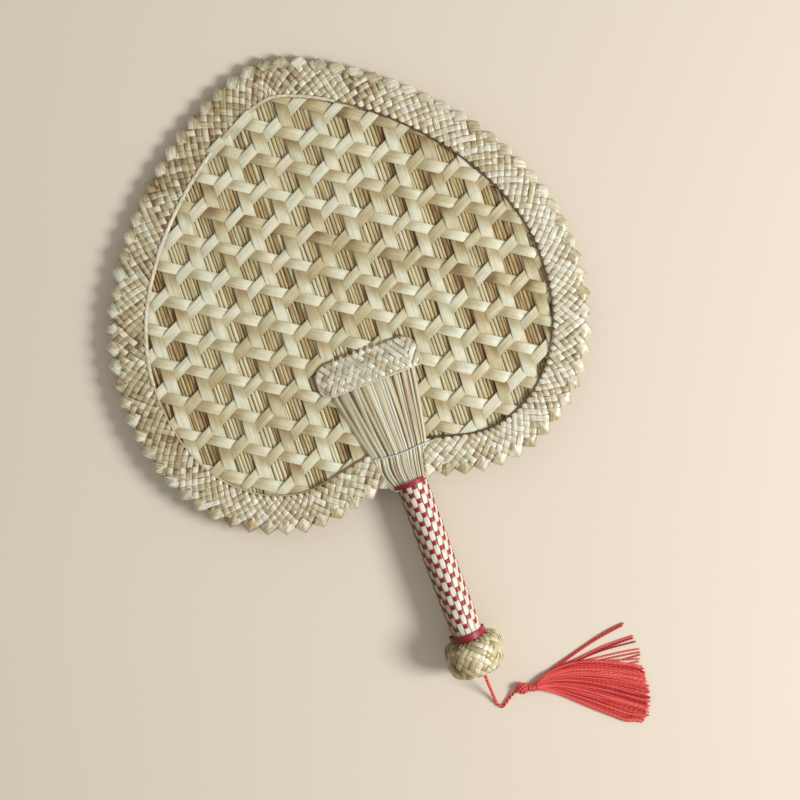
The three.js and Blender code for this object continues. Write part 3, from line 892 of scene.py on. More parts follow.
@dataclass
class Outline:
    """The blade's outline over its tooth tips: one half drawn, the other its mirror image."""

    tip_rise: float = 267.5
    half_width: float = 144.5
    widest_rise: float = 103.0
    lobe_offset: float = 56.0
    lobe_drop: float = 6.2
    notch_rise: float = 3.0
    apex_round: float = 40.0
    shoulder_round: float = 92.0
    hip_round: float = 79.0
    lobe_outer_round: float = 35.0
    lobe_inner_round: float = 20.0
    notch_round: float = 18.0
    samples: int = 160
    ring_points: int = 240

    def __post_init__(self) -> None:
        """Walks the outline once, counter-clockwise from the notch."""
        notch, lobe = (0.0, self.notch_rise), (self.lobe_offset, -self.lobe_drop)
        widest, apex = (self.half_width, self.widest_rise), (0.0, self.tip_rise)
        right: List[Vector] = []
        for corners in (
            (notch, (self.notch_round, self.notch_rise),
             (self.lobe_offset - self.lobe_inner_round, -self.lobe_drop), lobe),
            (lobe, (self.lobe_offset + self.lobe_outer_round, -self.lobe_drop),
             (self.half_width, self.widest_rise - self.hip_round), widest),
            (widest, (self.half_width, self.widest_rise + self.shoulder_round),
             (self.apex_round, self.tip_rise), apex),
        ):
            points = [xyz(*corner) for corner in corners]
            right.extend(interpolate_bezier(*points, self.samples)[:-1])
        right.append(xyz(*apex))
        self.route = Route(right + [xyz(-point.x, point.y) for point in right[-2::-1]])
        self.length = self.route.length

    def at(self, along: float) -> Tuple[Vector, Vector]:
        """A point on the outline and the inward way there.

        Args:
            along: Distance along the outline from the notch, counter-clockwise.

        Returns:
            The point and its inward direction.
        """
        spot, share = self.route.find(along % self.length)
        corners = self.route.points
        here, ahead = corners[spot], corners[spot + 1]
        before = corners[spot - 1] if spot else corners[-2]
        after = corners[spot + 2] if spot + 2 < len(corners) else corners[1]
        way = (ahead - before).normalized().lerp((after - here).normalized(), share)
        return here.lerp(ahead, share), left_of(way.normalized())

    def spans(self, way: Vector, offset: float, depth: float) -> List[Pair]:
        """Where a straight line runs inside the outline.

        Args:
            way: The line's direction.
            offset: Its distance from the blade's zero, to the left of its direction.
            depth: Distance that the line's ends keep from the tooth tips.

        Returns:
            Start and end of each stretch, along the line.
        """
        across, ring, hits = left_of(way), [], []
        for step in range(self.ring_points):
            point, inward = self.at(self.length * step / self.ring_points)
            ring.append(point + inward * depth)
        for here, ahead in zip(ring, ring[1:] + ring[:1]):
            first, second = here.dot(across) - offset, ahead.dot(across) - offset
            if (first < 0) != (second < 0):
                hits.append(here.lerp(ahead, first / (first - second)).dot(way))
        hits.sort()
        return list(zip(hits[::2], hits[1::2]))


@dataclass
class Levels:
    """Heights over the blade's middle plane."""

    net: float = 1.8
    net_low: float = 1.05
    seat: float = 2.85
    border: float = 3.65


@dataclass
class Pattern:
    """The net's pattern: three families of middle lines round open hexagons."""

    spacing: float = 18.6
    turn: float = 1.7
    hexagon: Pair = (-23.8, 204.8)

    def way(self, lay: Lay) -> Vector:
        """The direction of a family of strips."""
        angle = math.radians(90 - self.turn + lay.value.turn)
        return xyz(math.cos(angle), math.sin(angle))

    def run(self, point: Vector, across: Vector) -> float:
        """A point's place across a family, in spacings; each whole number is a middle line."""
        return (point - xyz(*self.hexagon)).dot(across) / self.spacing - 0.5

    def past(self, point: Vector, lay: Lay) -> float:
        """How far a point lies to the left of a family's nearest middle line."""
        run = self.run(point, left_of(self.way(lay)))
        return (run - round(run)) * self.spacing


@dataclass
class Flare:
    """The stems' bundle: its half width and height along the handle's own frame."""

    neck_half: float = 9.0
    start: Pair = (10.0, 1.4)
    bend: Pair = (17.2, 17.0)
    end: Pair = (26.5, 66.0)
    socket: float = 18.0
    neck_rise: float = 9.0
    shoulder_rise: float = 5.8
    top_rise: float = 5.1
    top: float = 78.0
    edge: float = 1.1
    neck_edge: float = 0.15
    left_bulge: float = 3.4
    bulge_reach: float = 24.0

    def half_width(self, along: float) -> float:
        """Half width of the bundle at a distance above the collar, on a curve of three points."""
        if along <= self.start[1]:
            return self.neck_half
        if along >= self.end[1]:
            return self.end[0]
        square = self.start[1] - 2 * self.bend[1] + self.end[1]
        linear = 2 * (self.bend[1] - self.start[1])
        root = math.sqrt(linear * linear - 4 * square * (self.start[1] - along))
        share = (root - linear) / (2 * square)
        low = mix(self.start[0], self.bend[0], share)
        return mix(low, mix(self.bend[0], self.end[0], share), share)

    def across(self, side: float, along: float) -> float:
        """Sideways place of a stem by its side, -1 to 1; the left ones bulge above the collar."""
        bulge = self.left_bulge * math.sin(math.pi * clamp((along + 2) / self.bulge_reach))
        return side * self.half_width(along) - bulge * (1 - side) / 2

    def rise(self, along: float) -> float:
        """Height of the bundle's middle over the middle plane."""
        if along <= self.socket:
            return mix(self.neck_rise, self.shoulder_rise, max(0.0, along / self.socket))
        share = min(1.0, (along - self.socket) / (self.top - self.socket))
        return mix(self.shoulder_rise, self.top_rise, share)

    def level(self, along: float, side: float, levels: Levels) -> float:
        """Height of the bundle's skin over the middle plane.

        Args:
            along: Distance above the collar.
            side: Place across the bundle, -1 to 1.
            levels: Heights over the middle plane.

        Returns:
            The height.
        """
        seat = mix(self.neck_edge, levels.seat, ease((along - self.socket + 6) / 12))
        return mix(seat + self.edge, self.rise(along), math.sqrt(max(0.0, 1 - side * side)))


@dataclass
class Fan:
    """What the sub-assemblies share: the fan's frames, its driving shapes and its finishes."""

    places: Places = field(default_factory=Places)
    outline: Outline = field(default_factory=Outline)
    levels: Levels = field(default_factory=Levels)
    pattern: Pattern = field(default_factory=Pattern)
    flare: Flare = field(default_factory=Flare)
    finishes: Dict[str, bpy.types.Material] = field(default_factory=build_finishes)


@dataclass
class SubAssembly:
    """A sub-assembly of the fan."""

    fan: Fan


@dataclass
class FaceAssembly(SubAssembly):
    """A sub-assembly that each face of the blade has."""

    face: Face

    @property
    def out(self) -> Vector:
        """The way out of the face."""
        return xyz(0, 0, self.face.value)


@dataclass
class Studio:
    """The plain floor, the soft lamps and the camera."""

    target: Triple = (14.2, 51.0, 3.0)
    view_width: float = 472.0
    roll: float = 19.0
    tilt: float = 2.5
    lens: float = 84.0
    sensor: float = 36.0
    lamps: Tuple[Tuple[str, Triple, float, float], ...] = (
        ("key_lamp", (1.1, -0.58, 1.08), 0.62, 23.8),
        ("fill_lamp", (-0.8, 0.9, 1.3), 1.2, 1.5),
    )
    surround: Tuple[float, float, float, float] = (1.0, 0.98, 0.95, 1.0)
    surround_light: float = 0.4
    surround_seen: float = 0.92
    floor_colour: Colour = srgb(226, 214, 196)
    floor_reach: float = 3.0

    def build(self, places: Places) -> None:
        """Makes the camera, the lamps, the world and the floor."""
        self.add_camera(places)
        self.add_lamps()
        self.add_world()
        self.add_floor()

    @staticmethod
    def add(name: str, data: bpy.types.ID) -> bpy.types.Object:
        """Puts a camera, a lamp or the floor in the scene.

        Args:
            name: The object's name.
            data: Its camera, light or mesh.

        Returns:
            The new object.
        """
        made = bpy.data.objects.new(name, data)
        bpy.context.scene.collection.objects.link(made)
        return made

    def add_camera(self, places: Places) -> None:
        """Looks down on the blade, a little from its tip's side, as the photograph does."""
        target = places.blade @ xyz(*self.target)
        back = Matrix.Rotation(math.radians(-self.tilt), 3, "X") @ places.up
        roll = math.radians(self.roll)
        right = xyz(math.sin(roll), math.cos(roll)).cross(back).normalized()
        data = bpy.data.cameras.new("camera")
        data.lens = self.lens
        data.sensor_width = self.sensor
        distance = self.view_width * MM * self.lens / self.sensor
        data.clip_end = 10 * distance
        camera = self.add("camera", data)
        turn = Matrix((right, back.cross(right), back)).transposed().to_4x4()
        camera.matrix_world = Matrix.Translation(target + back * distance) @ turn
        bpy.context.scene.camera = camera

    def add_lamps(self) -> None:
        """A soft key lamp from the right and a weak fill from the upper left."""
        for name, place, size, power in self.lamps:
            data = bpy.data.lights.new(name, "AREA")
            data.shape = "DISK"
            data.size = size
            data.energy = power
            lamp = self.add(name, data)
            lamp.location = place
            lamp.rotation_euler = xyz(*place).to_track_quat("Z", "Y").to_euler()

    def add_world(self) -> None:
        """An even pale surround, white where the camera sees it."""
        world = bpy.data.worlds.new("surround")
        world.use_nodes = True
        nodes = NodeTree(world.node_tree)
        seen = nodes.result("ShaderNodeLightPath", {}, "Is Camera Ray")
        shader = world.node_tree.nodes["Background"]
        shader.inputs["Color"].default_value = self.surround
        strength = nodes.remap(seen, 0.0, 1.0, self.surround_light, self.surround_seen)
        nodes.feed(shader.inputs["Strength"], strength)
        bpy.context.scene.world = world
        bpy.context.scene.view_settings.view_transform = "Standard"

    def add_floor(self) -> None:
        """A wide plain floor under the fan."""
        shape = bmesh.new()
        bmesh.ops.create_grid(shape, x_segments=1, y_segments=1, size=self.floor_reach)
        data = bpy.data.meshes.new("floor")
        shape.to_mesh(data)
        shape.free()
        paper = Material("floor_paper")
        shade = paper.noise(paper.result("ShaderNodeTexCoord", {}, "Object"), (3.0, 3.0, 3.0))
        darker = tuple(value * 0.96 for value in self.floor_colour)
        base = paper.blend(shade, self.floor_colour, darker)
        data.materials.append(paper.dress({"Base Color": base, "Roughness": 0.9}))
        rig.stage(self.add("floor", data))


@dataclass
class StalkMat(SubAssembly):
    """Whole straw stalks side by side: the stiff middle layer of the blade."""

    pitch: float = 2.15
    depth: float = 15.0
    thickness: float = 1.3
    overlap: float = 1.04
    widths: Pair = (0.72, 1.28)
    thicknesses: Pair = (0.85, 1.05)
    stray: float = 0.06
    bends: Pair = (0.05, 0.16)
    waves: float = 14.0
    dryness: Dryness = Dryness(0.33, 0.26, 0.66)
    shade_width: float = 10.0
    shade_depth: float = 0.25
    steps: int = 90
    sides: int = 6

    def build(self) -> None:
        """Lays the stalks between the two nets, browner where the strips shade them."""
        mesh = StrandMesh(self.fan, self.fan.places.blade, 11)
        outline = self.fan.outline
        middle = -outline.half_width
        while middle < outline.half_width:
            width = self.pitch * mesh.draw.uniform(*self.widths)
            middle += width / 2
            for low, high in outline.spans(xyz(0, 1), -middle, self.depth):
                self.add_stalk(mesh, middle, width, low, high)
            middle += width / 2
        mesh.retint(lambda point, tint: min(1.0, tint + self.shade_depth * self.shade(point)))
        mesh.finish("straw_stalks", "stalk_straw", "stalk_mat")

    def shade(self, point: Vector) -> float:
        """Share of shade that the upright strips throw on the stalks to their left."""
        left = self.fan.pattern.past(point, Lay.UPRIGHT) - Lay.UPRIGHT.value.width / 2
        return 1 - ease(left / self.shade_width) if left > -1.0 else 0.0

    def add_stalk(
        self, mesh: StrandMesh, middle: float, width: float, low: float, high: float
    ) -> None:
        """Adds one stalk, a little bent and flattened against its neighbours.

        Args:
            mesh: The mesh that takes it.
            middle: Its sideways place.
            width: Room between its neighbours.
            low: Its lower end.
            high: Its upper end.
        """
        draw = mesh.draw
        thick = self.thickness / 2 * draw.uniform(*self.thicknesses)
        level = draw.uniform(-self.stray, self.stray)
        phase = draw.uniform(*PHASES)
        bend = draw.uniform(*self.bends)

        def line(share: float) -> Vector:
            """The stalk's middle, which sways a little."""
            sway = bend * math.sin(phase + share * self.waves)
            return xyz(middle + sway, mix(low, high, share), level)

        tint = self.dryness.of(draw)
        section = rounded(width / 2 * self.overlap, thick)
        mesh.straw(self.steps, self.sides, line, section, high - low, tint)


@dataclass
class Net(FaceAssembly):
    """The net's flat strips on one face."""

    thickness: float = 0.26
    depth: float = 18.0
    rise: float = 0.66
    flat: float = 1.6
    crown: float = 0.12
    ridge: float = 0.22
    ridge_slope: float = 3.0
    creased: float = 0.6
    crease_reach: float = 0.6
    no_crease: float = 3.0
    shade_run: Pair = (0.18, 0.68)
    stray: float = 0.45
    widths: Pair = (0.9, 1.08)
    tilt: float = 0.06
    step: float = 1.25
    columns: int = 6
    light: Pair = (0.85, -0.5)
    end_rise: float = 1.3
    loose_ends: Tuple[Triple, ...] = (
        (-13.7, 238.2, 20.0), (-34.1, 228.6, 17.0),
    )

    def build(self) -> None:
        """Weaves the three families."""
        lays = list(Lay)
        for number, lay in enumerate(lays):
            mesh = StrandMesh(self.fan, self.fan.places.blade, 20 + number + 10 * self.face.value)
            self.weave(mesh, lay, lays[number - 1], lays[(number + 1) % 3])
            if lay is Lay.RISING:
                self.add_loose_ends(mesh)
            family, face = lay.name.lower(), self.face.word
            mesh.finish(f"{family}_straw_{face}", "strip_straw", f"{family}_strips_{face}",
                        wall=self.thickness)

    def bump(self, point: Vector, lay: Lay) -> float:
        """Share of its full rise that a strip has at a point by the family that it crosses."""
        reach = self.fan.pattern.spacing / 2 - 2 * self.flat
        return 1 - ease((abs(self.fan.pattern.past(point, lay)) - self.flat) / reach)

    def shade(self, point: Vector, lay: Lay, crossing: Lay) -> float:
        """How shaded a strip is: 1 where it comes out from under its neighbour, -1 where it dips.

        Args:
            point: Place on the strip.
            lay: The strip's family.
            crossing: The family that passes over it.

        Returns:
            The shade, from -1 to 1.
        """
        way, across = self.fan.pattern.way(lay), left_of(self.fan.pattern.way(crossing))
        across *= math.copysign(1, across.dot(way) * xyz(*self.light).dot(way))
        first, last = self.shade_run
        run = self.fan.pattern.run(point, across) % 1
        return math.cos(math.pi * clamp((run - first) / (last - first)))

    def weave(self, mesh: StrandMesh, lay: Lay, crossed: Lay, crossing: Lay) -> None:
        """Adds the strips of one family.

        Args:
            mesh: The mesh that takes them.
            lay: Their family.
            crossed: The family that they pass over.
            crossing: The family that passes over them.
        """
        draw, pattern, outline = mesh.draw, self.fan.pattern, self.fan.outline
        way = pattern.way(lay)
        across = left_of(way)
        start = xyz(*pattern.hexagon).dot(across)
        count = int(2 * outline.tip_rise / pattern.spacing)
        for number in range(-count, count + 1):
            offset = start + (number + 0.5) * pattern.spacing
            offset += draw.uniform(-self.stray, self.stray)
            for low, high in outline.spans(way, offset, self.depth):
                half = lay.value.width / 2 * draw.uniform(*self.widths)
                tilt = draw.uniform(-self.tilt, self.tilt)
                tint = lay.value.dryness.of(draw)
                crease = self.no_crease
                if draw.random() < self.creased:
                    crease = draw.uniform(-self.crease_reach, self.crease_reach)

                def shape(share: float, side: float) -> Vector:
                    """The strip's middle surface, arched, with a crease along most strips."""
                    point = way * mix(low, high, share) + across * (offset + side * half)
                    wave = self.bump(point, crossed) - self.bump(point, crossing)
                    level = self.fan.levels.net + self.rise * wave + tilt * side
                    level += self.crown * (1 - side * side)
                    level += self.ridge * max(0.0, 1 - abs(side - crease) * self.ridge_slope)
                    return xyz(point.x, point.y, self.face.value * level)

                steps = max(4, round((high - low) / self.step))
                mesh.strip(steps, self.columns, shape, high - low, tint)
        contrast = lay.value.contrast
        mesh.retint(lambda point, tint: clamp(tint + contrast * self.shade(point, lay, crossing)))

    def add_loose_ends(self, mesh: StrandMesh) -> None:
        """Adds the ends of rising strips that lie over the border's inner edge."""
        way, levels = self.fan.pattern.way(Lay.RISING), self.fan.levels
        aside = left_of(way) * Lay.RISING.value.width / 2
        for end_x, end_y, length in self.loose_ends:

            def shape(share: float, side: float) -> Vector:
                """A strip that climbs from the net on to the border."""
                point = xyz(end_x, end_y) - way * (1 - share) * length + aside * side
                level = mix(levels.net_low, levels.border + self.end_rise, ease(share * 1.7))
                return point + self.out * (level + self.crown * side * side)

            mesh.strip(12, self.columns, shape, length, 0.0)


@dataclass
class Plait:
    """A flat plait of straws at a slant, each over one and under one, with a few slips."""

    pitch: float
    row: float
    width: float
    rise: float = 0.3
    crown: float = 0.13
    roll: float = 0.14
    thickness: float = 0.24
    slips: float = 0.1
    widths: Pair = (0.9, 1.0)
    stray: float = 0.25
    roll_turn: float = 2.1
    period: int = 400
    most_rows: int = 40
    steps_per_row: int = 4
    columns: int = 4
    fold: float = 0.8
    fold_drop: float = 0.5
    glow: float = 0.0
    light: Triple = (0.88, -0.47, 0.0)

    def __post_init__(self) -> None:
        """Draws the crossings where the two straws have changed places."""
        draw = random.Random(self.period)
        self.slipped = {
            (place, row) for place in range(self.period) for row in range(self.most_rows)
            if draw.random() < self.slips
        }

    def over(self, number: int, slant: Slant, row: int) -> int:
        """Whether a straw lies over the one that it crosses, 1, or under it, -1.

        Args:
            number: The straw's place along the plait.
            slant: Which way it runs.
            row: Row of the crossing, counted from the edge.

        Returns:
            The straw's side of the crossing.
        """
        forward = number if slant is Slant.FORWARD else number - row
        side = 1 if row % 2 == 0 else -1
        if (forward % self.period, row) in self.slipped:
            side = -side
        return side * slant.value

    def add_straw(
        self, mesh: StrandMesh, surface: Surface, number: int, slant: Slant, low: float,
        high: float, tint: float, outside: Optional[Outside] = None,
    ) -> None:
        """Adds one straw from the plait's outer edge to its inner edge.

        Args:
            mesh: The mesh that takes it.
            surface: Place and outward way from the distances along the plait and in from its edge.
            number: The straw's place along the plait.
            slant: Which way it runs.
            low: Distance from the edge where it starts.
            high: Distance from the edge where it ends.
            tint: Its tint.
            outside: Says which points are left out.
        """
        draw = mesh.draw
        run = self.pitch / 2 / self.row
        length = (high - low) * math.hypot(1, run)
        half = self.width / 2 * draw.uniform(*self.widths)
        aside = Vector((1, -run * slant.value)).normalized() * half
        tilt = draw.uniform(-self.roll, self.roll)
        shift = draw.uniform(-self.stray, self.stray)
        phase = draw.uniform(*PHASES)

        def shape(share: float, side: float) -> Vector:
            """The straw's middle surface over and under its neighbours, folded in at its ends."""
            inset = mix(low, high, share)
            along = number * self.pitch + shift + slant.value * run * inset
            point, normal = surface(along + aside.x * side, inset + aside.y * side)
            place = inset / self.row
            row = math.floor(place)
            sides = self.over(number, slant, row), self.over(number, slant, row + 1)
            level = self.rise * mix(*sides, ease(place - row)) + self.crown * (1 - side * side)
            level += tilt * side * math.sin(phase + place * self.roll_turn)
            for end in (share * length, (1 - share) * length):
                level -= self.fold_drop * (1 - ease(end / self.fold))
            return point + normal * level

        def facing(along: float, inset: float) -> float:
            """How far a step from the straw's start turns to the light, -1 to 1."""
            step = surface(start + along, low + inset)[0] - surface(start, low)[0]
            return step.normalized().dot(Vector(self.light))

        start = number * self.pitch + slant.value * run * low
        ahead, beside = facing(slant.value * run, 1), facing(aside.x, aside.y)

        def shade(share: float, side: float) -> float:
            """Painted light: brighter where a face of the straw turns to the lamp, darker where it turns away."""
            place = mix(low, high, share) / self.row
            return -self.glow * (2 * (place - round(place)) * ahead + side * beside)

        steps = max(3, round((high - low) / self.row * self.steps_per_row))
        mesh.strip(steps, self.columns, shape, length, tint, outside, shade if self.glow else None)


@dataclass
class Border(FaceAssembly):
    """The wide plait round one face's rim, with its folded teeth, the selvedge and the cane."""

    tooth_pitch: float = 11.4
    tooth_side: float = 8.0
    tooth_depth: float = 0.86
    tooth_round: float = 0.35
    tooth_blunt: float = 1.5
    tooth_blunt_reach: float = 3.2
    tooth_ridge: Pair = (0.5, 1.1)
    tooth_stray: float = 0.35
    tooth_lift: float = 0.42
    tooth_drop: float = 0.3
    tooth_tuck: float = 0.5
    tooth_tuck_start: float = 4.5
    tooth_tuck_reach: float = 4.0
    tooth_crease: float = 0.35
    tooth_wings: Pair = (0.26, -0.05)
    tooth_rim: float = 0.4
    tooth_faces: int = 7
    inner: float = 23.6
    slope: float = 8.0
    stem_cover: float = 2.2
    stem_rises: Pair = (-4.0, 40.0)
    first_rows: Pair = (1.4, 1.9)
    rim_level: float = 0.55
    half_wall: float = 0.5
    bulge: float = 0.35
    buckle: float = 0.25
    dryness: Dryness = Dryness(0.29, 0.25, 0.95)
    right_pale: float = 0.22
    tip_dry: float = 0.26
    tip_start: float = 175.0
    tip_reach: float = 70.0
    selvedge_width: float = 1.7
    selvedge_gap: float = 0.75
    selvedge_tint: float = 0.16
    selvedge_step: float = 1.3
    cane_inset: float = 24.9
    cane_width: float = 1.3
    cane_thickness: float = 1.0
    cane_wall: float = 0.35
    cane_shift: float = 0.7
    cane_step: float = 2.0
    cane_tint: Pair = (0.12, 0.8)

    def build(self) -> None:
        """Plaits the border and sews the cane along it."""
        outline, places = self.fan.outline, self.fan.places
        self.teeth = round(outline.length / self.tooth_pitch)
        pitch = outline.length / self.teeth / 2
        self.plait = Plait(
            pitch=pitch, row=pitch / 2, width=pitch / math.sqrt(2), rise=0.4, crown=0.25,
            roll=0.36, period=2 * self.teeth, glow=0.3,
        )
        self.to_handle = places.handle.inverted() @ places.blade
        self.add_plait()
        self.add_cane()

    def outside(self, point: Vector) -> bool:
        """Whether the stems take a point's place."""
        spot, flare = self.to_handle @ point, self.fan.flare
        left = flare.across(-1, spot.y) + self.stem_cover
        right = flare.across(1, spot.y) - self.stem_cover
        return left < spot.x < right and self.stem_rises[0] < spot.y < self.stem_rises[1]

    def surface(self, along: float, inset: float) -> Tuple[Vector, Vector]:
        """The middle of the plait's wall.

        Args:
            along: Distance along the outline.
            inset: Distance in from the tooth tips.

        Returns:
            The place and the outward way.
        """
        point, inward = self.fan.outline.at(along)
        spot = point + inward * inset
        climb = math.sin(clamp(inset / self.slope) * math.pi / 2)
        level = mix(self.rim_level, self.fan.levels.border - self.half_wall, climb)
        level += self.bulge * math.sin(math.pi * clamp(inset / self.inner))
        level += self.buckle * noise.noise(xyz(spot.x, spot.y, 5.0 * self.face.value) * 0.09)
        return spot + self.out * level, self.out

    def add_plait(self) -> None:
        """Plaits the border, its teeth and its selvedge."""
        mesh = StrandMesh(self.fan, self.fan.places.blade, 50 + self.face.value)
        outline, pitch = self.fan.outline, self.plait.pitch
        for number in range(2 * self.teeth):
            for slant in Slant:
                low = self.plait.row * self.first_rows[(number + slant.value) % 4 // 2]
                spot = outline.at(number * pitch)[0]
                # Painted light: straws turn paler towards the right, where the key lamp falls, and darker towards the
                # left; they also turn darker towards the tip.
                shade_and_tone = self.tip_dry * ease((spot.y - self.tip_start) / self.tip_reach)
                shade_and_tone -= self.right_pale * spot.x / outline.half_width
                tint = self.dryness.of(mesh.draw, shade_and_tone)
                self.plait.add_straw(mesh, self.surface, number, slant, low, self.inner, tint,
                                     self.outside)
        for number in range(self.teeth):
            self.add_tooth(mesh, (2 * number + 0.5) * pitch)
        self.add_selvedge(mesh)
        face = self.face.word
        mesh.finish(f"plaited_border_{face}", "border_straw", f"border_plait_{face}",
                    wall=self.plait.thickness)

    def add_tooth(self, mesh: StrandMesh, middle: float) -> None:
        """Folds one straw back at the rim with its corner outwards, blunter at the upper right.

        Args:
            mesh: The mesh that takes it.
            middle: Place of the tooth's tip along the rim.
        """
        draw = mesh.draw
        reach = self.tooth_side / math.sqrt(2)
        ridge = draw.uniform(*self.tooth_ridge)
        lean = draw.uniform(-self.tooth_stray, self.tooth_stray)
        shift = draw.uniform(-self.tooth_stray, self.tooth_stray)
        depth = self.tooth_depth * draw.uniform(0.92, 1.05)
        spot = self.fan.outline.at(middle)[0]
        soft = ease((spot.x - 10) / 50) * ease((spot.y - 60) / 60)
        blunt = mix(self.tooth_round, self.tooth_blunt, soft)

        def shape(share: float, side: float) -> Vector:
            """The fold's two wings, which meet in a ridge from the tip inwards."""
            other = (side + 1) / 2
            inset = (share + other) * reach * depth
            inset += blunt * (1 - ease(inset / self.tooth_blunt_reach))
            point, normal = self.surface(middle + shift + (share - other) * reach, inset)
            edge = ease(min(share, other) * 5)
            level = self.tooth_lift + ridge * (1 - abs(share - other)) + lean * (share - other)
            tuck = ease((inset - self.tooth_tuck_start) / self.tooth_tuck_reach)
            level = mix(-self.tooth_drop, level, edge) - self.tooth_tuck * tuck
            return point + normal * level

        def shade(share: float, side: float) -> float:
            """Painted light: one wing lit and one shaded, painted shade along the crease, and on a blunt tooth a
            painted highlight on the rim.
            """
            other = (side + 1) / 2
            rim = 1 - ease(min(share, other) * 7)
            crease = self.tooth_crease * (1 - ease(abs(share - other) * 6)) * (1 - rim)
            wing = self.tooth_wings[0 if share < other else 1]
            return (wing + crease) * (1 - soft) - self.tooth_rim * rim * soft

        tint = min(0.6, abs(draw.gauss(0.18, 0.2)))
        faces = self.tooth_faces
        mesh.strip(faces, faces, shape, self.tooth_side, tint, self.outside, shade)

    @staticmethod
    def leftness(point: Vector) -> float:
        """1 by the left and upper left rim, where the pale selvedge shows, and 0 elsewhere."""
        return ease((0.5 * (point.y - 100) - point.x - 10) / 40) * ease((point.y - 96) / 20)

    def add_selvedge(self, mesh: StrandMesh) -> None:
        """Adds the pale strip on the border's inner edge, laid only on the left where that edge is lit, so it is
        partly a painted highlight.
        """
        half, length = self.selvedge_width / 2, self.fan.outline.length

        def shape(share: float, side: float) -> Vector:
            """An arched strip whose edges follow the plait's turns."""
            loop = math.sin(TURN * share * length / self.plait.pitch)
            inset = self.inner + self.selvedge_gap + side * (half + 0.2 * loop)
            point, normal = self.surface(share * length, inset)
            level = self.half_wall + 0.3 + 0.35 * (1 - side * side) + 0.1 * loop
            return point + normal * level

        def hidden(point: Vector) -> bool:
            """Whether the selvedge stops short of a point."""
            return self.outside(point) or self.leftness(point) < 0.5

        steps = round(length / self.selvedge_step)
        mesh.strip(steps, 3, shape, length, self.selvedge_tint, hidden)

    def add_cane(self) -> None:
        """Sews the thin cane along the border's inner edge, browner towards the right."""
        mesh = StrandMesh(self.fan, self.fan.places.blade, 60 + self.face.value)
        outline, base = self.fan.outline, self.fan.levels.seat - 0.2

        def shape(share: float, side: float) -> Vector:
            """A rounded strip, narrower and further out where the selvedge ends."""
            point, inward = outline.at(share * outline.length)
            left = self.leftness(point)
            inset = self.cane_inset - self.cane_shift * (1 - left)
            spot = point + inward * (inset + side * self.cane_width * mix(0.3, 0.5, left))
            spot.x += 0.2 * noise.noise(xyz(spot.x, spot.y, 3.0) * 0.05)
            return spot + self.out * (base + self.cane_thickness * math.sqrt(1 - 0.8 * side * side))

        steps = round(outline.length / self.cane_step)
        mesh.strip(steps, 4, shape, outline.length, 0.0, self.outside)
        # Partly painted light and shade: the cane is pale where the inner edge is lit on the left, and browner on the
        # right, where it also stands for the shadow line beside the border.
        mesh.retint(lambda point, _: mix(
            *self.cane_tint, ease((point.x + 0.35 * (120 - point.y) + 70) / 120)
        ))
        face = self.face.word
        mesh.finish(f"sewn_cane_{face}", "cane", f"edge_cane_{face}", wall=self.cane_wall)


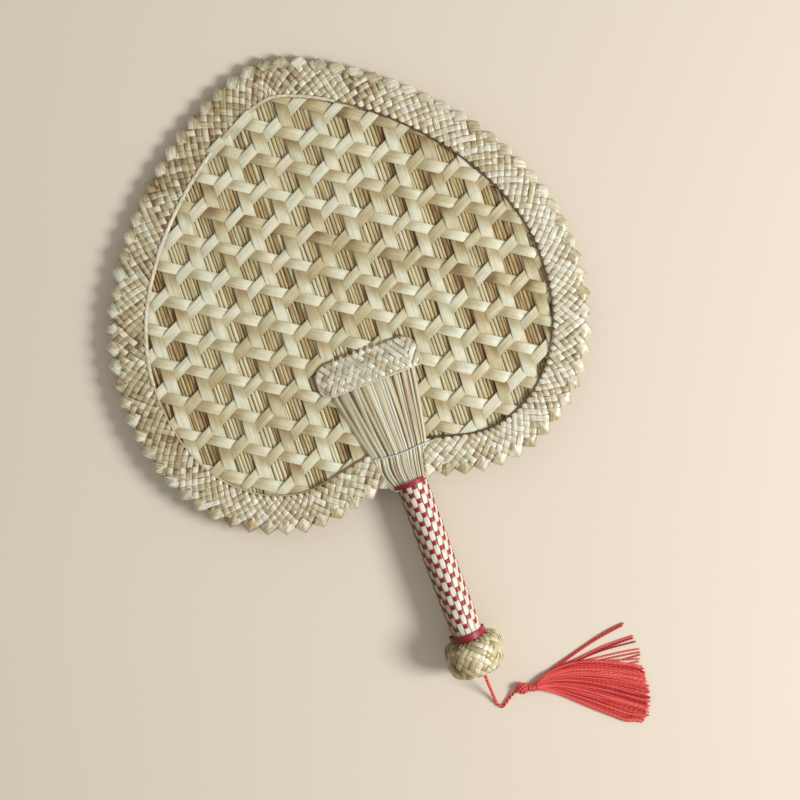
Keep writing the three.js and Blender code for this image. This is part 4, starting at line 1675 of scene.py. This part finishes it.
@dataclass
class Stems(FaceAssembly):
    """The stems that gather from the blade to the handle, and the thread sewn across them."""

    count: int = 17
    under_count: int = 24
    low: float = 0.9
    thickness: float = 1.7
    under_drop: float = 1.1
    under_width: float = 1.6
    under_tints: Pair = (0.6, 1.0)
    drop: float = 0.35
    shares: Pair = (0.55, 1.5)
    widths: Pair = (0.94, 1.2)
    drift: float = 0.5
    lift: float = 0.2
    swells: Pair = (0.85, 1.15)
    roll: float = 0.35
    dryness: Dryness = Dryness(0.27, 0.23, 0.75)
    steps: int = 34
    sides: int = 10
    thread: Yarn = Yarn(0.425, 2.4, 0.7, 140, 8)
    thread_rise: float = 21.5
    thread_slope: float = -0.05
    thread_shift: float = 2.4
    thread_past: float = 2.5
    thread_sag: float = 1.6
    thread_drop: float = 1.2
    thread_dip: float = 1.2

    def build(self) -> None:
        """Lays a packed lower layer of stems and a loose upper one, and ties them."""
        mesh = StrandMesh(self.fan, self.fan.places.handle, 70 + self.face.value)
        draw = mesh.draw
        # Painted shade: the lower layer is tinted dark so that the gaps between the upper stems show dark.
        for number in range(self.under_count):
            side = 2 * (number + 0.5) / self.under_count - 1
            self.add_stem(mesh, side, self.under_width / self.under_count, self.under_drop,
                          draw.uniform(*self.under_tints))
        shares = [draw.uniform(*self.shares) for _ in range(self.count)]
        reach = 0.0
        for number, share in enumerate(shares):
            half = share / sum(shares)
            side = 2 * (reach + half / 2) - 1
            reach += half
            tint = self.dryness.of(draw)
            width = half * draw.uniform(*self.widths)
            self.add_stem(mesh, side, width, self.drop * (number % 2), tint)
        face = self.face.word
        mesh.finish(f"gathered_stems_{face}", "stem_straw", f"stem_bundle_{face}")
        self.add_thread()

    def add_stem(
        self, mesh: StrandMesh, side: float, width: float, drop: float, tint: float
    ) -> None:
        """Adds one flattened stem.

        Args:
            mesh: The mesh that takes it.
            side: Its place across the bundle, -1 to 1.
            width: Its half width, as a share of the bundle's.
            drop: How far it lies under the bundle's skin.
            tint: Its tint.
        """
        draw, flare = mesh.draw, self.fan.flare
        drift = draw.uniform(-self.drift, self.drift) * width
        lift = draw.uniform(-self.lift, self.lift) - drop - self.thickness / 2
        swell, roll = draw.uniform(*self.swells), draw.uniform(-self.roll, self.roll)
        edge = 1 - width * 0.9

        def line(share: float) -> Vector:
            """The stem's middle, which wanders a little between its neighbours."""
            along = mix(self.low, flare.top, share)
            place = clamp(side + drift * math.sin(share * 5 + drift * 90), -edge, edge)
            height = flare.level(along, place, self.fan.levels) + lift
            return xyz(flare.across(place, along), along, self.face.value * height)

        def section(share: float, angle: float) -> Pair:
            """A flattened oval that narrows towards the collar and rolls to one side."""
            along = mix(self.low, flare.top, share)
            half = flare.half_width(along)
            slope = 1 + 0.3 * (flare.rise(along) / half) ** 2
            wide = width * half * slope * mix(swell, 1.05, share)
            out, rise = oval(wide, min(self.thickness / 2, wide * 0.8), angle)
            return out, rise + roll * out * 0.5

        up = xyz(side * 0.9 * flare.neck_rise / flare.neck_half, 0, self.face.value)
        mesh.straw(self.steps, self.sides, line, section, flare.top - self.low, tint, up)

    def add_thread(self) -> None:
        """Sews the pale thread across the stems, down on the border at both ends."""
        flare, levels = self.fan.flare, self.fan.levels
        mesh = StrandMesh(self.fan, self.fan.places.handle, 75 + self.face.value)
        reach = flare.half_width(self.thread_rise) + self.thread_past

        def line(share: float) -> Vector:
            """The thread's middle: over the stems, with both ends dipping into the plait."""
            across = mix(-reach, reach, share) + self.thread_shift
            along = self.thread_rise + self.thread_slope * across
            side = across / flare.half_width(along)
            along -= self.thread_sag * math.sin(math.pi * min(1.0, share * 1.3)) - self.thread_drop
            level = levels.border + 0.25
            if abs(side) < 1:
                level = max(level, flare.level(along, side, levels) + 0.2)
            dip = self.thread_dip * (1 - ease(min(share, 1 - share) * 22))
            level += self.thread.radius - dip
            return xyz(across, along, self.face.value * level)

        mesh.thread(self.thread, line, 2 * reach)
        face = self.face.word
        mesh.finish(f"sewn_thread_{face}", "thread", f"tie_thread_{face}")


@dataclass
class CapPlait(FaceAssembly):
    """The short plaited strap over the upper ends of the stems."""

    half_width: float = 31.2
    low: float = 66.5
    height: float = 18.6
    bow: float = 1.6
    upper_corner: float = 7.5
    lower_corner: float = 3.0
    left_rounder: float = 2.2
    rows: int = 6
    run: float = 0.75
    seat: float = 3.35
    over_stems: float = 0.75
    end_reach: float = 7.0
    top_reach: float = 6.0
    edge_radius: float = 0.6
    edge_lift: float = 0.3
    edge_tint: Pair = (0.0, 0.85)
    edge_tint_start: float = 3.0
    edge_tint_reach: float = 9.0
    dryness: Dryness = Dryness(0.22, 0.2, 0.7)

    def build(self) -> None:
        """Plaits the cap and binds its edge."""
        row = self.height / (self.rows + 0.5)
        pitch = 2 * row * self.run
        plait = Plait(pitch=pitch, row=row, width=pitch / math.hypot(1, self.run), rise=0.42,
                      roll=0.45, crown=0.26, slips=0.16)
        mesh = StrandMesh(self.fan, self.fan.places.handle, 80 + self.face.value)
        count = int(self.half_width / row / self.run) + self.rows
        for number in range(-count, count + 1):
            for slant in Slant:
                tint = self.dryness.of(mesh.draw)
                plait.add_straw(mesh, self.surface, number, slant, 0.1, self.height - 0.1, tint,
                                self.outside)
        face = self.face.word
        mesh.finish(f"plaited_cap_{face}", "stem_straw", f"cap_plait_{face}",
                    slot="border_straw", wall=plait.thickness)
        self.add_edging()

    def top(self, across: float) -> float:
        """Height of the cap's upper edge above the collar at a sideways place."""
        return self.low + self.height + self.bow * (1 - (across / self.half_width) ** 2)

    def corner(self, across: float, upper: bool) -> float:
        """Radius of the corner nearest to a sideways place: the lower left one is rounder."""
        lower = self.lower_corner * (self.left_rounder if across < 0 else 1)
        return self.upper_corner if upper else lower

    def surface(self, along: float, inset: float) -> Tuple[Vector, Vector]:
        """The cap's wall, which lies over the stems and comes down at its edges.

        Args:
            along: Sideways place on the cap.
            inset: Distance above the cap's lower edge.

        Returns:
            The place and the outward way.
        """
        flare = self.fan.flare
        up = mix(self.low, self.top(along), inset / self.height)
        high = flare.level(min(up, flare.top), along / self.half_width, self.fan.levels)
        ends = ease((self.half_width - abs(along)) / self.end_reach)
        over = 1 - ease((up - flare.top + 1) / self.top_reach)
        level = mix(self.seat, high + self.over_stems, ends * over)
        return xyz(along, up, self.face.value * level), self.out

    def outside(self, point: Vector) -> bool:
        """Whether a point lies past the cap's rounded outline."""
        right = self.half_width - abs(point.x)
        low, high = point.y - self.low, self.top(point.x) - point.y
        corner, inner = self.corner(point.x, high < low), min(low, high)
        if right < corner and inner < corner:
            return math.hypot(corner - right, corner - inner) > corner
        return right < 0

    def add_edging(self) -> None:
        """Adds the straw that binds the cap's edge, pale below and browner above; the brown above is partly painted
        shade, for the shadow line along the cap's upper edge.
        """
        mesh = StrandMesh(self.fan, self.fan.places.handle, 85 + self.face.value)
        loop = self.edge_loop()

        def line(share: float) -> Vector:
            """The straw's middle, round the cap's outline and just over its wall."""
            spot = share * len(loop)
            ahead = loop[(int(spot) + 1) % len(loop)]
            flat = loop[int(spot) % len(loop)].lerp(ahead, spot % 1)
            inset = (flat.y - self.low) / (self.top(flat.x) - self.low) * self.height
            return self.surface(flat.x, inset)[0] + self.out * self.edge_lift

        def section(share: float, angle: float) -> Pair:
            """A flattened round that swells at each stitch."""
            thick = self.edge_radius * (0.75 + 0.35 * math.sin(share * 110) ** 2)
            return oval(thick, thick * 0.8, angle)

        mesh.straw(260, 6, line, section, 160.0, 0.0)
        start = self.low + self.edge_tint_start
        # Partly painted shade: the edging browns towards the top, for the shadow line above the cap.
        mesh.retint(lambda point, _: mix(
            *self.edge_tint, ease((point.y - start) / self.edge_tint_reach)
        ))
        mesh.finish(f"cap_edging_{self.face.word}", "stem_straw", slot="border_straw")

    def edge_loop(self) -> List[Vector]:
        """Points round the cap's rounded outline."""
        points = []
        for sign_x, sign_y in ((1, -1), (1, 1), (-1, 1), (-1, -1)):
            corner = self.corner(sign_x, sign_y > 0)
            for step in range(7):
                angle = math.radians(15 * step)
                turn = angle if sign_x * sign_y < 0 else math.pi / 2 - angle
                across = sign_x * (self.half_width - corner * (1 - math.sin(turn)))
                drop = corner * (1 - math.cos(turn))
                edge = self.low + drop if sign_y < 0 else self.top(across) - drop
                points.append(xyz(across, edge))
        return points


@dataclass(frozen=True)
class Collar:
    """A crimson strip wound once round the handle, its end over its start."""

    node: str
    piece: str
    middle: float
    radius: float
    width: float
    start: float
    sag: float
    left_slack: float
    sweep: float = TURN + 0.5


@dataclass
class Handle(SubAssembly):
    """The woven sleeve and the two crimson collars."""

    sleeve_radius: float = 8.95
    bow: float = 0.8
    bow_length: float = 60.0
    sleeve_top: float = 2.2
    sleeve_length: float = 98.0
    warps: int = 17
    warp_gap: float = 0.1
    warp_stray: float = 0.012
    warp_widths: Pair = (0.93, 1.04)
    weft_pitch: float = 4.4
    weft_width: float = 2.6
    rise: float = 0.34
    wall: float = 0.26
    collar_wall: float = 0.3
    bare_end: float = 9.0
    dryness: Dryness = Dryness(0.14, 0.1)
    left_dry: float = 0.8
    collars: Tuple[Collar, ...] = (
        Collar("upper_collar", "wound_collar", 3.0, 9.6, 2.8, 3.5, 1.2, 2.0),
        Collar("lower_collar", "knob_collar", -94.2, 10.4, 5.2, 5.6, 2.2, 0.5),
    )

    def build(self) -> None:
        """Weaves the sleeve and winds the collars."""
        self.add_warps()
        self.add_weft()
        for collar in self.collars:
            self.add_collar(collar)

    def on_handle(self, angle: float, radius: float, along: float) -> Vector:
        """A point round the handle, its angle counted from the right and towards the front."""
        across, rise = oval(radius, radius, angle)
        return xyz(across - self.bow * ease(-along / self.bow_length), along, rise)

    def weave(self, along: float) -> float:
        """Share of its full rise that the weave has at a place: the last turns lie under."""
        return ease((along - self.sleeve_top + self.sleeve_length) / self.bare_end)

    def add_warps(self) -> None:
        """Lays the pale straws along the handle."""
        mesh = StrandMesh(self.fan, self.fan.places.handle, 90)
        half = math.pi / self.warps
        for number in range(self.warps):
            middle = TURN * number / self.warps
            middle += mesh.draw.uniform(-self.warp_stray, self.warp_stray)
            wide = half * (1 - self.warp_gap / (half * self.sleeve_radius) / 2)
            wide *= mesh.draw.uniform(*self.warp_widths)
            # Painted shade: the warps turn darker and browner towards the left, the side away from the key lamp.
            tint = self.dryness.of(mesh.draw, -self.left_dry * math.cos(middle))

            def shape(share: float, side: float) -> Vector:
                """A strip along the handle, over and under the weft."""
                along = self.sleeve_top - share * self.sleeve_length
                turns = share * self.sleeve_length / self.weft_pitch - number / self.warps
                wave = mix(0.6, -math.cos(math.pi * (turns + number)), self.weave(along))
                narrow = 1 - 0.03 * max(0.0, -wave)
                radius = self.sleeve_radius + self.rise * wave + 0.1 * (1 - side * side)
                return self.on_handle(middle + side * wide * narrow, radius, along)

            mesh.strip(130, 4, shape, self.sleeve_length, tint)
        mesh.finish("sleeve_warps", "sleeve_straw", "handle_sleeve", slot="sleeve_weave",
                    wall=self.wall)

    def add_weft(self) -> None:
        """Winds the red strip through the warps."""
        mesh = StrandMesh(self.fan, self.fan.places.handle, 91)
        turns = self.sleeve_length / self.weft_pitch - 0.6
        length = turns * TURN * self.sleeve_radius

        def shape(share: float, side: float) -> Vector:
            """A strip round the handle, under and over the warps."""
            turn = share * turns
            along = self.sleeve_top - self.weft_pitch * (turn + 0.25)
            along += 0.25 * noise.noise(xyz(turn * 5, 0, 7.0))
            full = self.weave(along) * (1 - 0.25 * ease(turn - turns + 4))
            wave = mix(-0.6, math.cos(math.pi * self.warps * turn), full)
            radius = self.sleeve_radius + self.rise * 1.2 * wave + 0.05 * (1 - side * side)
            return self.on_handle(TURN * turn, radius, along + side * self.weft_width / 2)

        mesh.strip(round(turns * self.warps * 6), 2, shape, length, 0.4)
        # Painted shade: the red strip darkens towards the left side of the handle, away from the key lamp.
        mesh.retint(lambda point, _: mix(0.1, 1.0, ease(0.4 - point.x / 2 / self.sleeve_radius)))
        mesh.finish("sleeve_weft", "crimson_strip", wall=self.wall)

    def add_collar(self, collar: Collar) -> None:
        """Winds a collar, slack on the left and hanging towards the knob on both faces."""
        mesh = StrandMesh(self.fan, self.fan.places.handle, 92 + round(abs(collar.middle)))

        def shape(share: float, side: float) -> Vector:
            """A strip round the handle, finely ribbed and narrower at the sides."""
            angle = collar.start + share * collar.sweep
            out = collar.radius + mix(-0.15, 0.3, ease(share * 1.1))
            out += 0.05 * (1 - side ** 4) + 0.05 * math.sin(side * 13)
            out += collar.left_slack * max(0.0, -math.cos(angle))
            along = collar.middle + 0.15 * math.sin(share * 9 + collar.radius)
            along -= collar.sag * (abs(math.sin(angle)) - 0.4)
            broad = collar.width / 2 * mix(0.7, 1.0, abs(math.sin(angle)))
            return self.on_handle(angle, out, along + side * broad)

        mesh.strip(110, 12, shape, collar.sweep * collar.radius, 0.3)
        # Painted shade: each collar darkens towards the left side of the handle, away from the key lamp.
        mesh.retint(lambda point, _: mix(0.15, 0.9, ease(0.5 - point.x / 2 / collar.radius)))
        mesh.finish(collar.piece, "crimson_strip", collar.node, wall=self.collar_wall)


@dataclass
class Knob(SubAssembly):
    """The woven knob on the handle's end, and the knot that the tassel hangs from."""

    corners: Tuple[Pair, ...] = (
        (9.2, -95.2), (10.8, -95.3), (13.5, -96.0), (16.1, -97.9), (17.4, -101.1),
        (17.8, -104.8), (17.5, -108.8), (16.6, -112.6), (14.9, -115.9), (11.7, -118.0),
        (7.8, -118.7), (5.4, -118.4), (4.0, -117.5), (3.6, -116.8),
    )
    profile_steps: int = 100
    waist: float = -104.0
    hole: float = 3.0
    straws: int = 22
    rows: int = 13
    wall: float = 0.3
    shift: float = -0.8
    lean: float = 0.07
    sag: float = 2.2
    dryness: Dryness = Dryness(0.24, 0.2, 0.7)
    knot_radius: float = 1.15
    knot_length: float = 12.0
    knot_yarn: Yarn = Yarn(0.62, 1.6, 0.4, 90, 8)
    ridges: int = 30
    ridge_tint: Pair = (0.25, 1.05)
    ridge_start: float = -100.5
    ridge_reach: float = 4.5
    left_dry: float = 0.5
    left_reach: float = 15.0

    def build(self) -> None:
        """Weaves the knob and ties the knot in its end."""
        route = Route(list(smooth_line([xyz(*corner) for corner in self.corners], 20)))
        self.reach, last = route.length, self.profile_steps
        self.profile = [
            route.points[route.find(self.reach * step / last)[0]] for step in range(last + 1)
        ]
        self.around = TURN * max(point.x for point in self.profile)
        row, pitch = self.reach / self.rows, self.around / self.straws
        plait = Plait(pitch=pitch, row=row, width=pitch * row * 2 / math.hypot(pitch, 2 * row),
                      rise=0.34, crown=0.28, roll=0.2, steps_per_row=5, columns=5,
                      slips=0.22, period=self.straws, fold_drop=0.9)
        mesh = StrandMesh(self.fan, self.fan.places.handle, 100)
        for number in range(self.straws):
            for slant in Slant:
                tint = self.dryness.of(mesh.draw)
                plait.add_straw(mesh, self.surface, number, slant, 0.2, self.reach - 0.1, tint)
        mesh.retint(self.shaded)
        mesh.finish("woven_knob", "knob_straw", "knob_shell", wall=self.wall)
        self.add_knot()

    def surface(self, along: float, inset: float) -> Tuple[Vector, Vector]:
        """The knob's wall, which leans to the left and turns in round the cord's hole.

        Args:
            along: Distance round the knob at its widest.
            inset: Distance along the profile from the mouth.

        Returns:
            The place and the outward way.
        """
        last = self.profile_steps
        share = clamp(inset / self.reach) * last
        spot = min(last - 1, int(share))
        here = self.profile[spot].lerp(self.profile[spot + 1], share - spot)
        slope = (self.profile[min(last, spot + 3)] - self.profile[max(0, spot - 2)]).normalized()
        across, rise = oval(1, 1, TURN * along / self.around)
        aside = xyz(across, 0, rise)
        lean = self.lean * ease((self.waist - here.y) / 8) * ease((here.x - self.hole) / 6)
        full = here.x * (1 - lean * across) - 0.5
        sag = self.sag * abs(rise) * ease((here.y - self.waist) / 8)
        shift = self.shift * ease((here.x - self.hole) / 4)
        return aside * full + xyz(shift, here.y - sag), aside * -slope.y + xyz(0, slope.x)

    def shaded(self, point: Vector, tint: float) -> float:
        """The tint, with painted stripes for the ridges gathered at the mouth, whose dark furrows are painted shade,
        and painted shade on the left side.
        """
        wave = math.sin(self.ridges * math.atan2(point.z, point.x) + point.y)
        ridge = mix(*self.ridge_tint, (wave + 1) / 2)
        gathered = mix(tint, ridge, ease((point.y - self.ridge_start) / self.ridge_reach))
        return min(1.0, gathered + self.left_dry * ease(-point.x / self.left_reach))

    def add_knot(self) -> None:
        """Ties the cord's knot in the hole."""
        place = Matrix.Translation(self.fan.places.exit) @ Matrix.Scale(MM, 4)
        mesh = StrandMesh(self.fan, place, 101)
        half = self.knot_radius * 0.5

        def line(share: float) -> Vector:
            """A trefoil round the cord."""
            turn = TURN * share
            across, rise = oval(1, 1, 2 * turn)
            reach = half * (1.3 + math.cos(3 * turn) * 0.6)
            return xyz(reach * across, half * math.sin(3 * turn), reach * rise)

        mesh.thread(self.knot_yarn, line, self.knot_length, xyz(0.3, 0.2, 1))
        mesh.finish("cord_knot", "red_yarn", "exit_knot")


@dataclass
class Tassel(SubAssembly):
    """The twisted cord, the bead knot, the bound neck and the skirt of yarns."""

    cord_diameter: float = 1.7
    cord_yarn: Yarn = Yarn(1.105, 5.6, 0.75, 170, 10, 0.5)
    knot_reach: float = 1.8
    bead_radius: float = 3.2
    bead_core: float = 2.3
    bead_stretch: Triple = (1.4, 1.18, 0.98)
    bead_winds: Tuple[Triple, ...] = ((2.68, 0.5, 5.5), (2.56, -0.6, 4.5))
    gap: float = 0.3
    turn: float = -16.0
    neck_core: float = 1.98
    neck_length: float = 4.6
    neck_turns: float = 5.2
    neck_margin: float = 0.42
    bead_yarn: Yarn = Yarn(0.52, 1.9, 0.8, 230)
    neck_yarn: Yarn = Yarn(0.46, 1.7, 0.75, 170)
    skirt_yarn: Yarn = Yarn(0.56, 4.4, 0.5, 78)
    yarns: int = 132
    yarn_steps: int = 64
    spread_stray: float = 0.02
    end_bulge: float = 3.4
    end_x_strays: Pair = (-2.2, 1.2)
    end_y_stray: float = 0.7
    waist_stray: float = 1.3
    neck_stray: float = 0.8
    thicknesses: Pair = (0.85, 1.08)
    waves: Pair = (0.15, 0.5)
    rises: Pair = (0.0, 0.5)
    floor_gap: float = 0.12
    layer_rise: float = 0.75
    curl: float = 4.4
    curl_start: float = -41.0
    curl_reach: float = 6.0
    route: Tuple[Triple, ...] = (
        (0.15, -4.2, 17.6), (0.2, -6.3, 16.4), (0.3, -8.6, 14.6), (0.4, -11.0, 12.4),
        (0.5, -13.5, 10.0), (0.6, -16.1, 7.5), (0.7, -18.8, 5.1), (0.8, -21.5, 3.1),
        (1.0, -24.2, 1.8), (1.7, -26.6, 1.15), (3.2, -28.3, 1.0), (5.3, -27.9, 1.0),
        (7.7, -26.1, 1.1), (9.7, -24.7, 1.35), (11.6, -23.4, 1.75), (13.2, -22.4, 2.3),
    )
    lower: Tuple[Pair, ...] = (
        (8.0, -3.3), (17.0, -6.0), (36.6, -26.6), (62.6, -48.8),
    )
    upper: Tuple[Pair, ...] = ((8.6, -0.9), (21.0, 8.0), (44.0, 7.0), (72.4, -12.0))
    strays: Tuple[Tuple[Pair, ...], ...] = (
        ((40.0, 10.5), (58.0, 16.5), (70.8, 17.3)), ((39.0, 9.6), (57.0, 15.6), (69.8, 16.0)),
        ((32.0, 9.4), (54.0, 8.2), (73.9, 8.1)), ((33.0, 8.0), (54.0, 7.4), (73.4, 6.2)),
        ((34.0, 7.0), (54.0, 7.2), (74.2, 4.2)), ((32.0, 9.0), (50.0, 4.0), (75.0, -1.6)),
        ((33.0, 6.6), (51.0, 1.0), (74.6, -3.4)), ((33.0, 8.4), (52.0, -3.4), (74.2, -5.0)),
        ((34.0, 6.0), (52.0, 1.0), (73.2, -6.8)), ((34.0, 5.0), (52.0, -5.6), (72.2, -8.6)),
    )

    def build_cord(self) -> None:
        """Twists the cord along its route from the knot in the knob to the bead."""
        places = self.fan.places
        start = places.exit + places.way * (self.knot_reach + self.gap) * MM
        route = [xyz(places.exit.x + x * MM, places.exit.y + y * MM, z * MM)
                 for x, y, z in self.route]
        inward = (route[-1] - places.bead).normalized()
        end = places.bead + inward * (self.bead_radius + self.gap) * MM
        self.path = Route(list(smooth_line([start, *route, end], 10)))
        length = self.path.length / MM
        mesh = StrandMesh(self.fan, Matrix.Scale(MM, 4), 110)

        def line(share: float) -> Vector:
            """The cord's middle, in millimetres."""
            return self.path.at(share * self.path.length) / MM

        mesh.thread(self.cord_yarn, line, length, xyz(0.9, 0.1, 0.4))
        self.cord = mesh.finish("twisted_cord", "red_yarn", "tassel_cord", body="cord")
        LOG.info("cord length %.1f mm", length)

    def build(self) -> None:
        turned = self.fan.places.tassel @ Matrix.Rotation(math.radians(self.turn), 4, "Z")
        bead, neck = self.add_bead(turned), self.add_neck(turned)
        self.add_skirt()
        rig.cord(self.cord, exit=self.path.points[0], length=self.path.length,
                diameter=self.cord_diameter * MM, far_end="knot", stiffness="limp", lay="loose",
                path=self.path.points, with_pieces=[bead, neck])

    def add_bead(self, turned: Matrix) -> bpy.types.Object:
        """Winds the yarn into a round knot, at the zero of the frame along the neck."""
        mesh = StrandMesh(self.fan, turned, 111)
        core, stretch = self.bead_core, Vector(self.bead_stretch)

        def ball_section(share: float, angle: float) -> Pair:
            """The core's round section, which closes at both ends."""
            reach = core * math.sqrt(max(0.0004, 1 - (2 * share - 1) ** 2)) + 0.3
            return oval(reach, reach, angle)

        mesh.straw(12, 14, lambda share: xyz(mix(-core, core, share), 0), ball_section, 5.0, 0.1)
        for radius, tilt, turns in self.bead_winds:
            place = Matrix.Rotation(tilt, 3, "Y") @ Matrix.Rotation(tilt, 3, "Z")

            def line(share: float) -> Vector:
                """A spiral from one pole of the core to the other."""
                polar = mix(0.25, math.pi - 0.25, share)
                across, rise = oval(math.sin(polar), math.sin(polar), TURN * turns * share)
                return place @ xyz(math.cos(polar), across, rise) * radius * stretch

            mesh.thread(self.bead_yarn, line, TURN * radius * turns * 0.7, xyz(1, 0.3, 0.2))
        return mesh.finish("bead_knot", "red_yarn", "tassel_bead", body="bead")

    def add_neck(self, turned: Matrix) -> bpy.types.Object:
        """Binds the yarns with a few turns behind the bead, in the frame along the neck."""
        mesh = StrandMesh(self.fan, turned, 112)
        first, core, margin = self.bead_radius + self.gap, self.neck_core, self.neck_margin

        def inner(share: float) -> Vector:
            """The middle of the bound yarns."""
            return xyz(first + share * self.neck_length, 0)

        def line(share: float) -> Vector:
            """A close spiral round them."""
            waist = core + 0.12 * math.cos(TURN * share)
            across, rise = oval(waist, waist, TURN * self.neck_turns * share)
            return xyz(first + margin + share * (self.neck_length - 2 * margin), across, rise)

        mesh.straw(6, 10, inner, rounded(core, core), self.neck_length, 0.2)
        mesh.thread(self.neck_yarn, line, self.neck_turns * TURN * core, xyz(1, 0))
        return mesh.finish("bound_neck", "red_yarn", "tassel_neck", body="tassel")

    def add_skirt(self) -> None:
        """Splays the yarns out on the floor, with a few strays apart from the rest."""
        mesh = StrandMesh(self.fan, self.fan.places.tassel, 113)
        draw = mesh.draw
        for number in range(self.yarns):
            stray = draw.uniform(-self.spread_stray, self.spread_stray)
            spread = clamp((number + 0.5) / self.yarns + stray)
            course = [xyz(*a).lerp(xyz(*b), spread) for a, b in zip(self.lower, self.upper)]
            course[3].x += self.end_bulge * math.sin(math.pi * spread)
            course[3].x += draw.uniform(*self.end_x_strays)
            course[3].y += draw.uniform(-self.end_y_stray, self.end_y_stray)
            course[2].y += draw.uniform(-self.waist_stray, self.waist_stray)
            self.add_yarn(mesh, course, number % 3)
        for waist, tail, tip in self.strays:
            course = [xyz(8.4, -0.8), xyz(*waist) * 0.62, xyz(*tail) * 0.92, xyz(*tip)]
            self.add_yarn(mesh, course, 0)
        mesh.finish("yarn_skirt", "red_yarn", "tassel_skirt", body="tassel")

    def add_yarn(self, mesh: StrandMesh, course: Sequence[Vector], layer: int) -> None:
        """Adds one yarn of the skirt.

        Args:
            mesh: The mesh that takes it.
            course: Its four control points, seen from above.
            layer: How many yarns it lies on.
        """
        draw, last = mesh.draw, self.yarn_steps
        radius = self.skirt_yarn.radius * draw.uniform(*self.thicknesses)
        level = self.fan.places.floor + radius + self.floor_gap + layer * self.layer_rise
        level += draw.uniform(*self.rises)
        stray = self.neck_stray
        neck = xyz(0, draw.uniform(-stray, stray), draw.uniform(-stray, stray))
        wave, phase = draw.uniform(*self.waves), draw.uniform(*PHASES)
        curl = self.curl * ease((self.curl_start - course[3].y) / self.curl_reach)
        points = interpolate_bezier(*course, last + 1)

        def line(share: float) -> Vector:
            """The yarn's middle: it comes down from the neck, wavers and curls at its end."""
            spot = min(last - 1, int(share * last))
            flat = points[spot].lerp(points[spot + 1], share * last - spot)
            sway = wave * share * math.sin(phase + share * 11)
            sway += curl * ease((share - 0.86) / 0.14) + neck.y * (1 - share)
            return xyz(flat.x, flat.y + sway, mix(neck.z, level, ease(share * 2.4)))

        yarn = replace(self.skirt_yarn, radius=radius, tint=draw.uniform(0.0, 1.0))
        mesh.thread(yarn, line, Route(points).length)


def dress_nodes(finish: bpy.types.Material) -> None:
    """Gives the wooden nodes, which keep their own shape, their finish."""
    for node in ("handle_stick", "knob_core", "rim_hoop"):
        found = frame["nodes"][node]
        found.data.materials.clear()
        found.data.materials.append(finish)
        LOG.info("%s: keeps its own shape", node)


def save_sizes() -> None:
    """Writes the solids' box and the finished model's box."""
    low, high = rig.bounds()
    sizes = {"cad": [list(cad_low), list(cad_high)], "visual": [list(low), list(high)]}
    with open(SIZE_FILE, "w", encoding="utf-8") as file:
        json.dump(sizes, file)


def main() -> None:
    """Builds the fan, sub-assembly by sub-assembly."""
    logging.basicConfig(level=logging.INFO, format="%(name)s %(message)s")
    fan = Fan()
    Studio().build(fan.places)
    tassel = Tassel(fan)
    tassel.build_cord()
    StalkMat(fan).build()
    for kind in (Net, Border, Stems, CapPlait):
        for face in Face:
            kind(fan, face).build()
    Handle(fan).build()
    Knob(fan).build()
    tassel.build()
    dress_nodes(fan.finishes["stick_wood"])
    save_sizes()


if __name__ == "__main__":
    main()
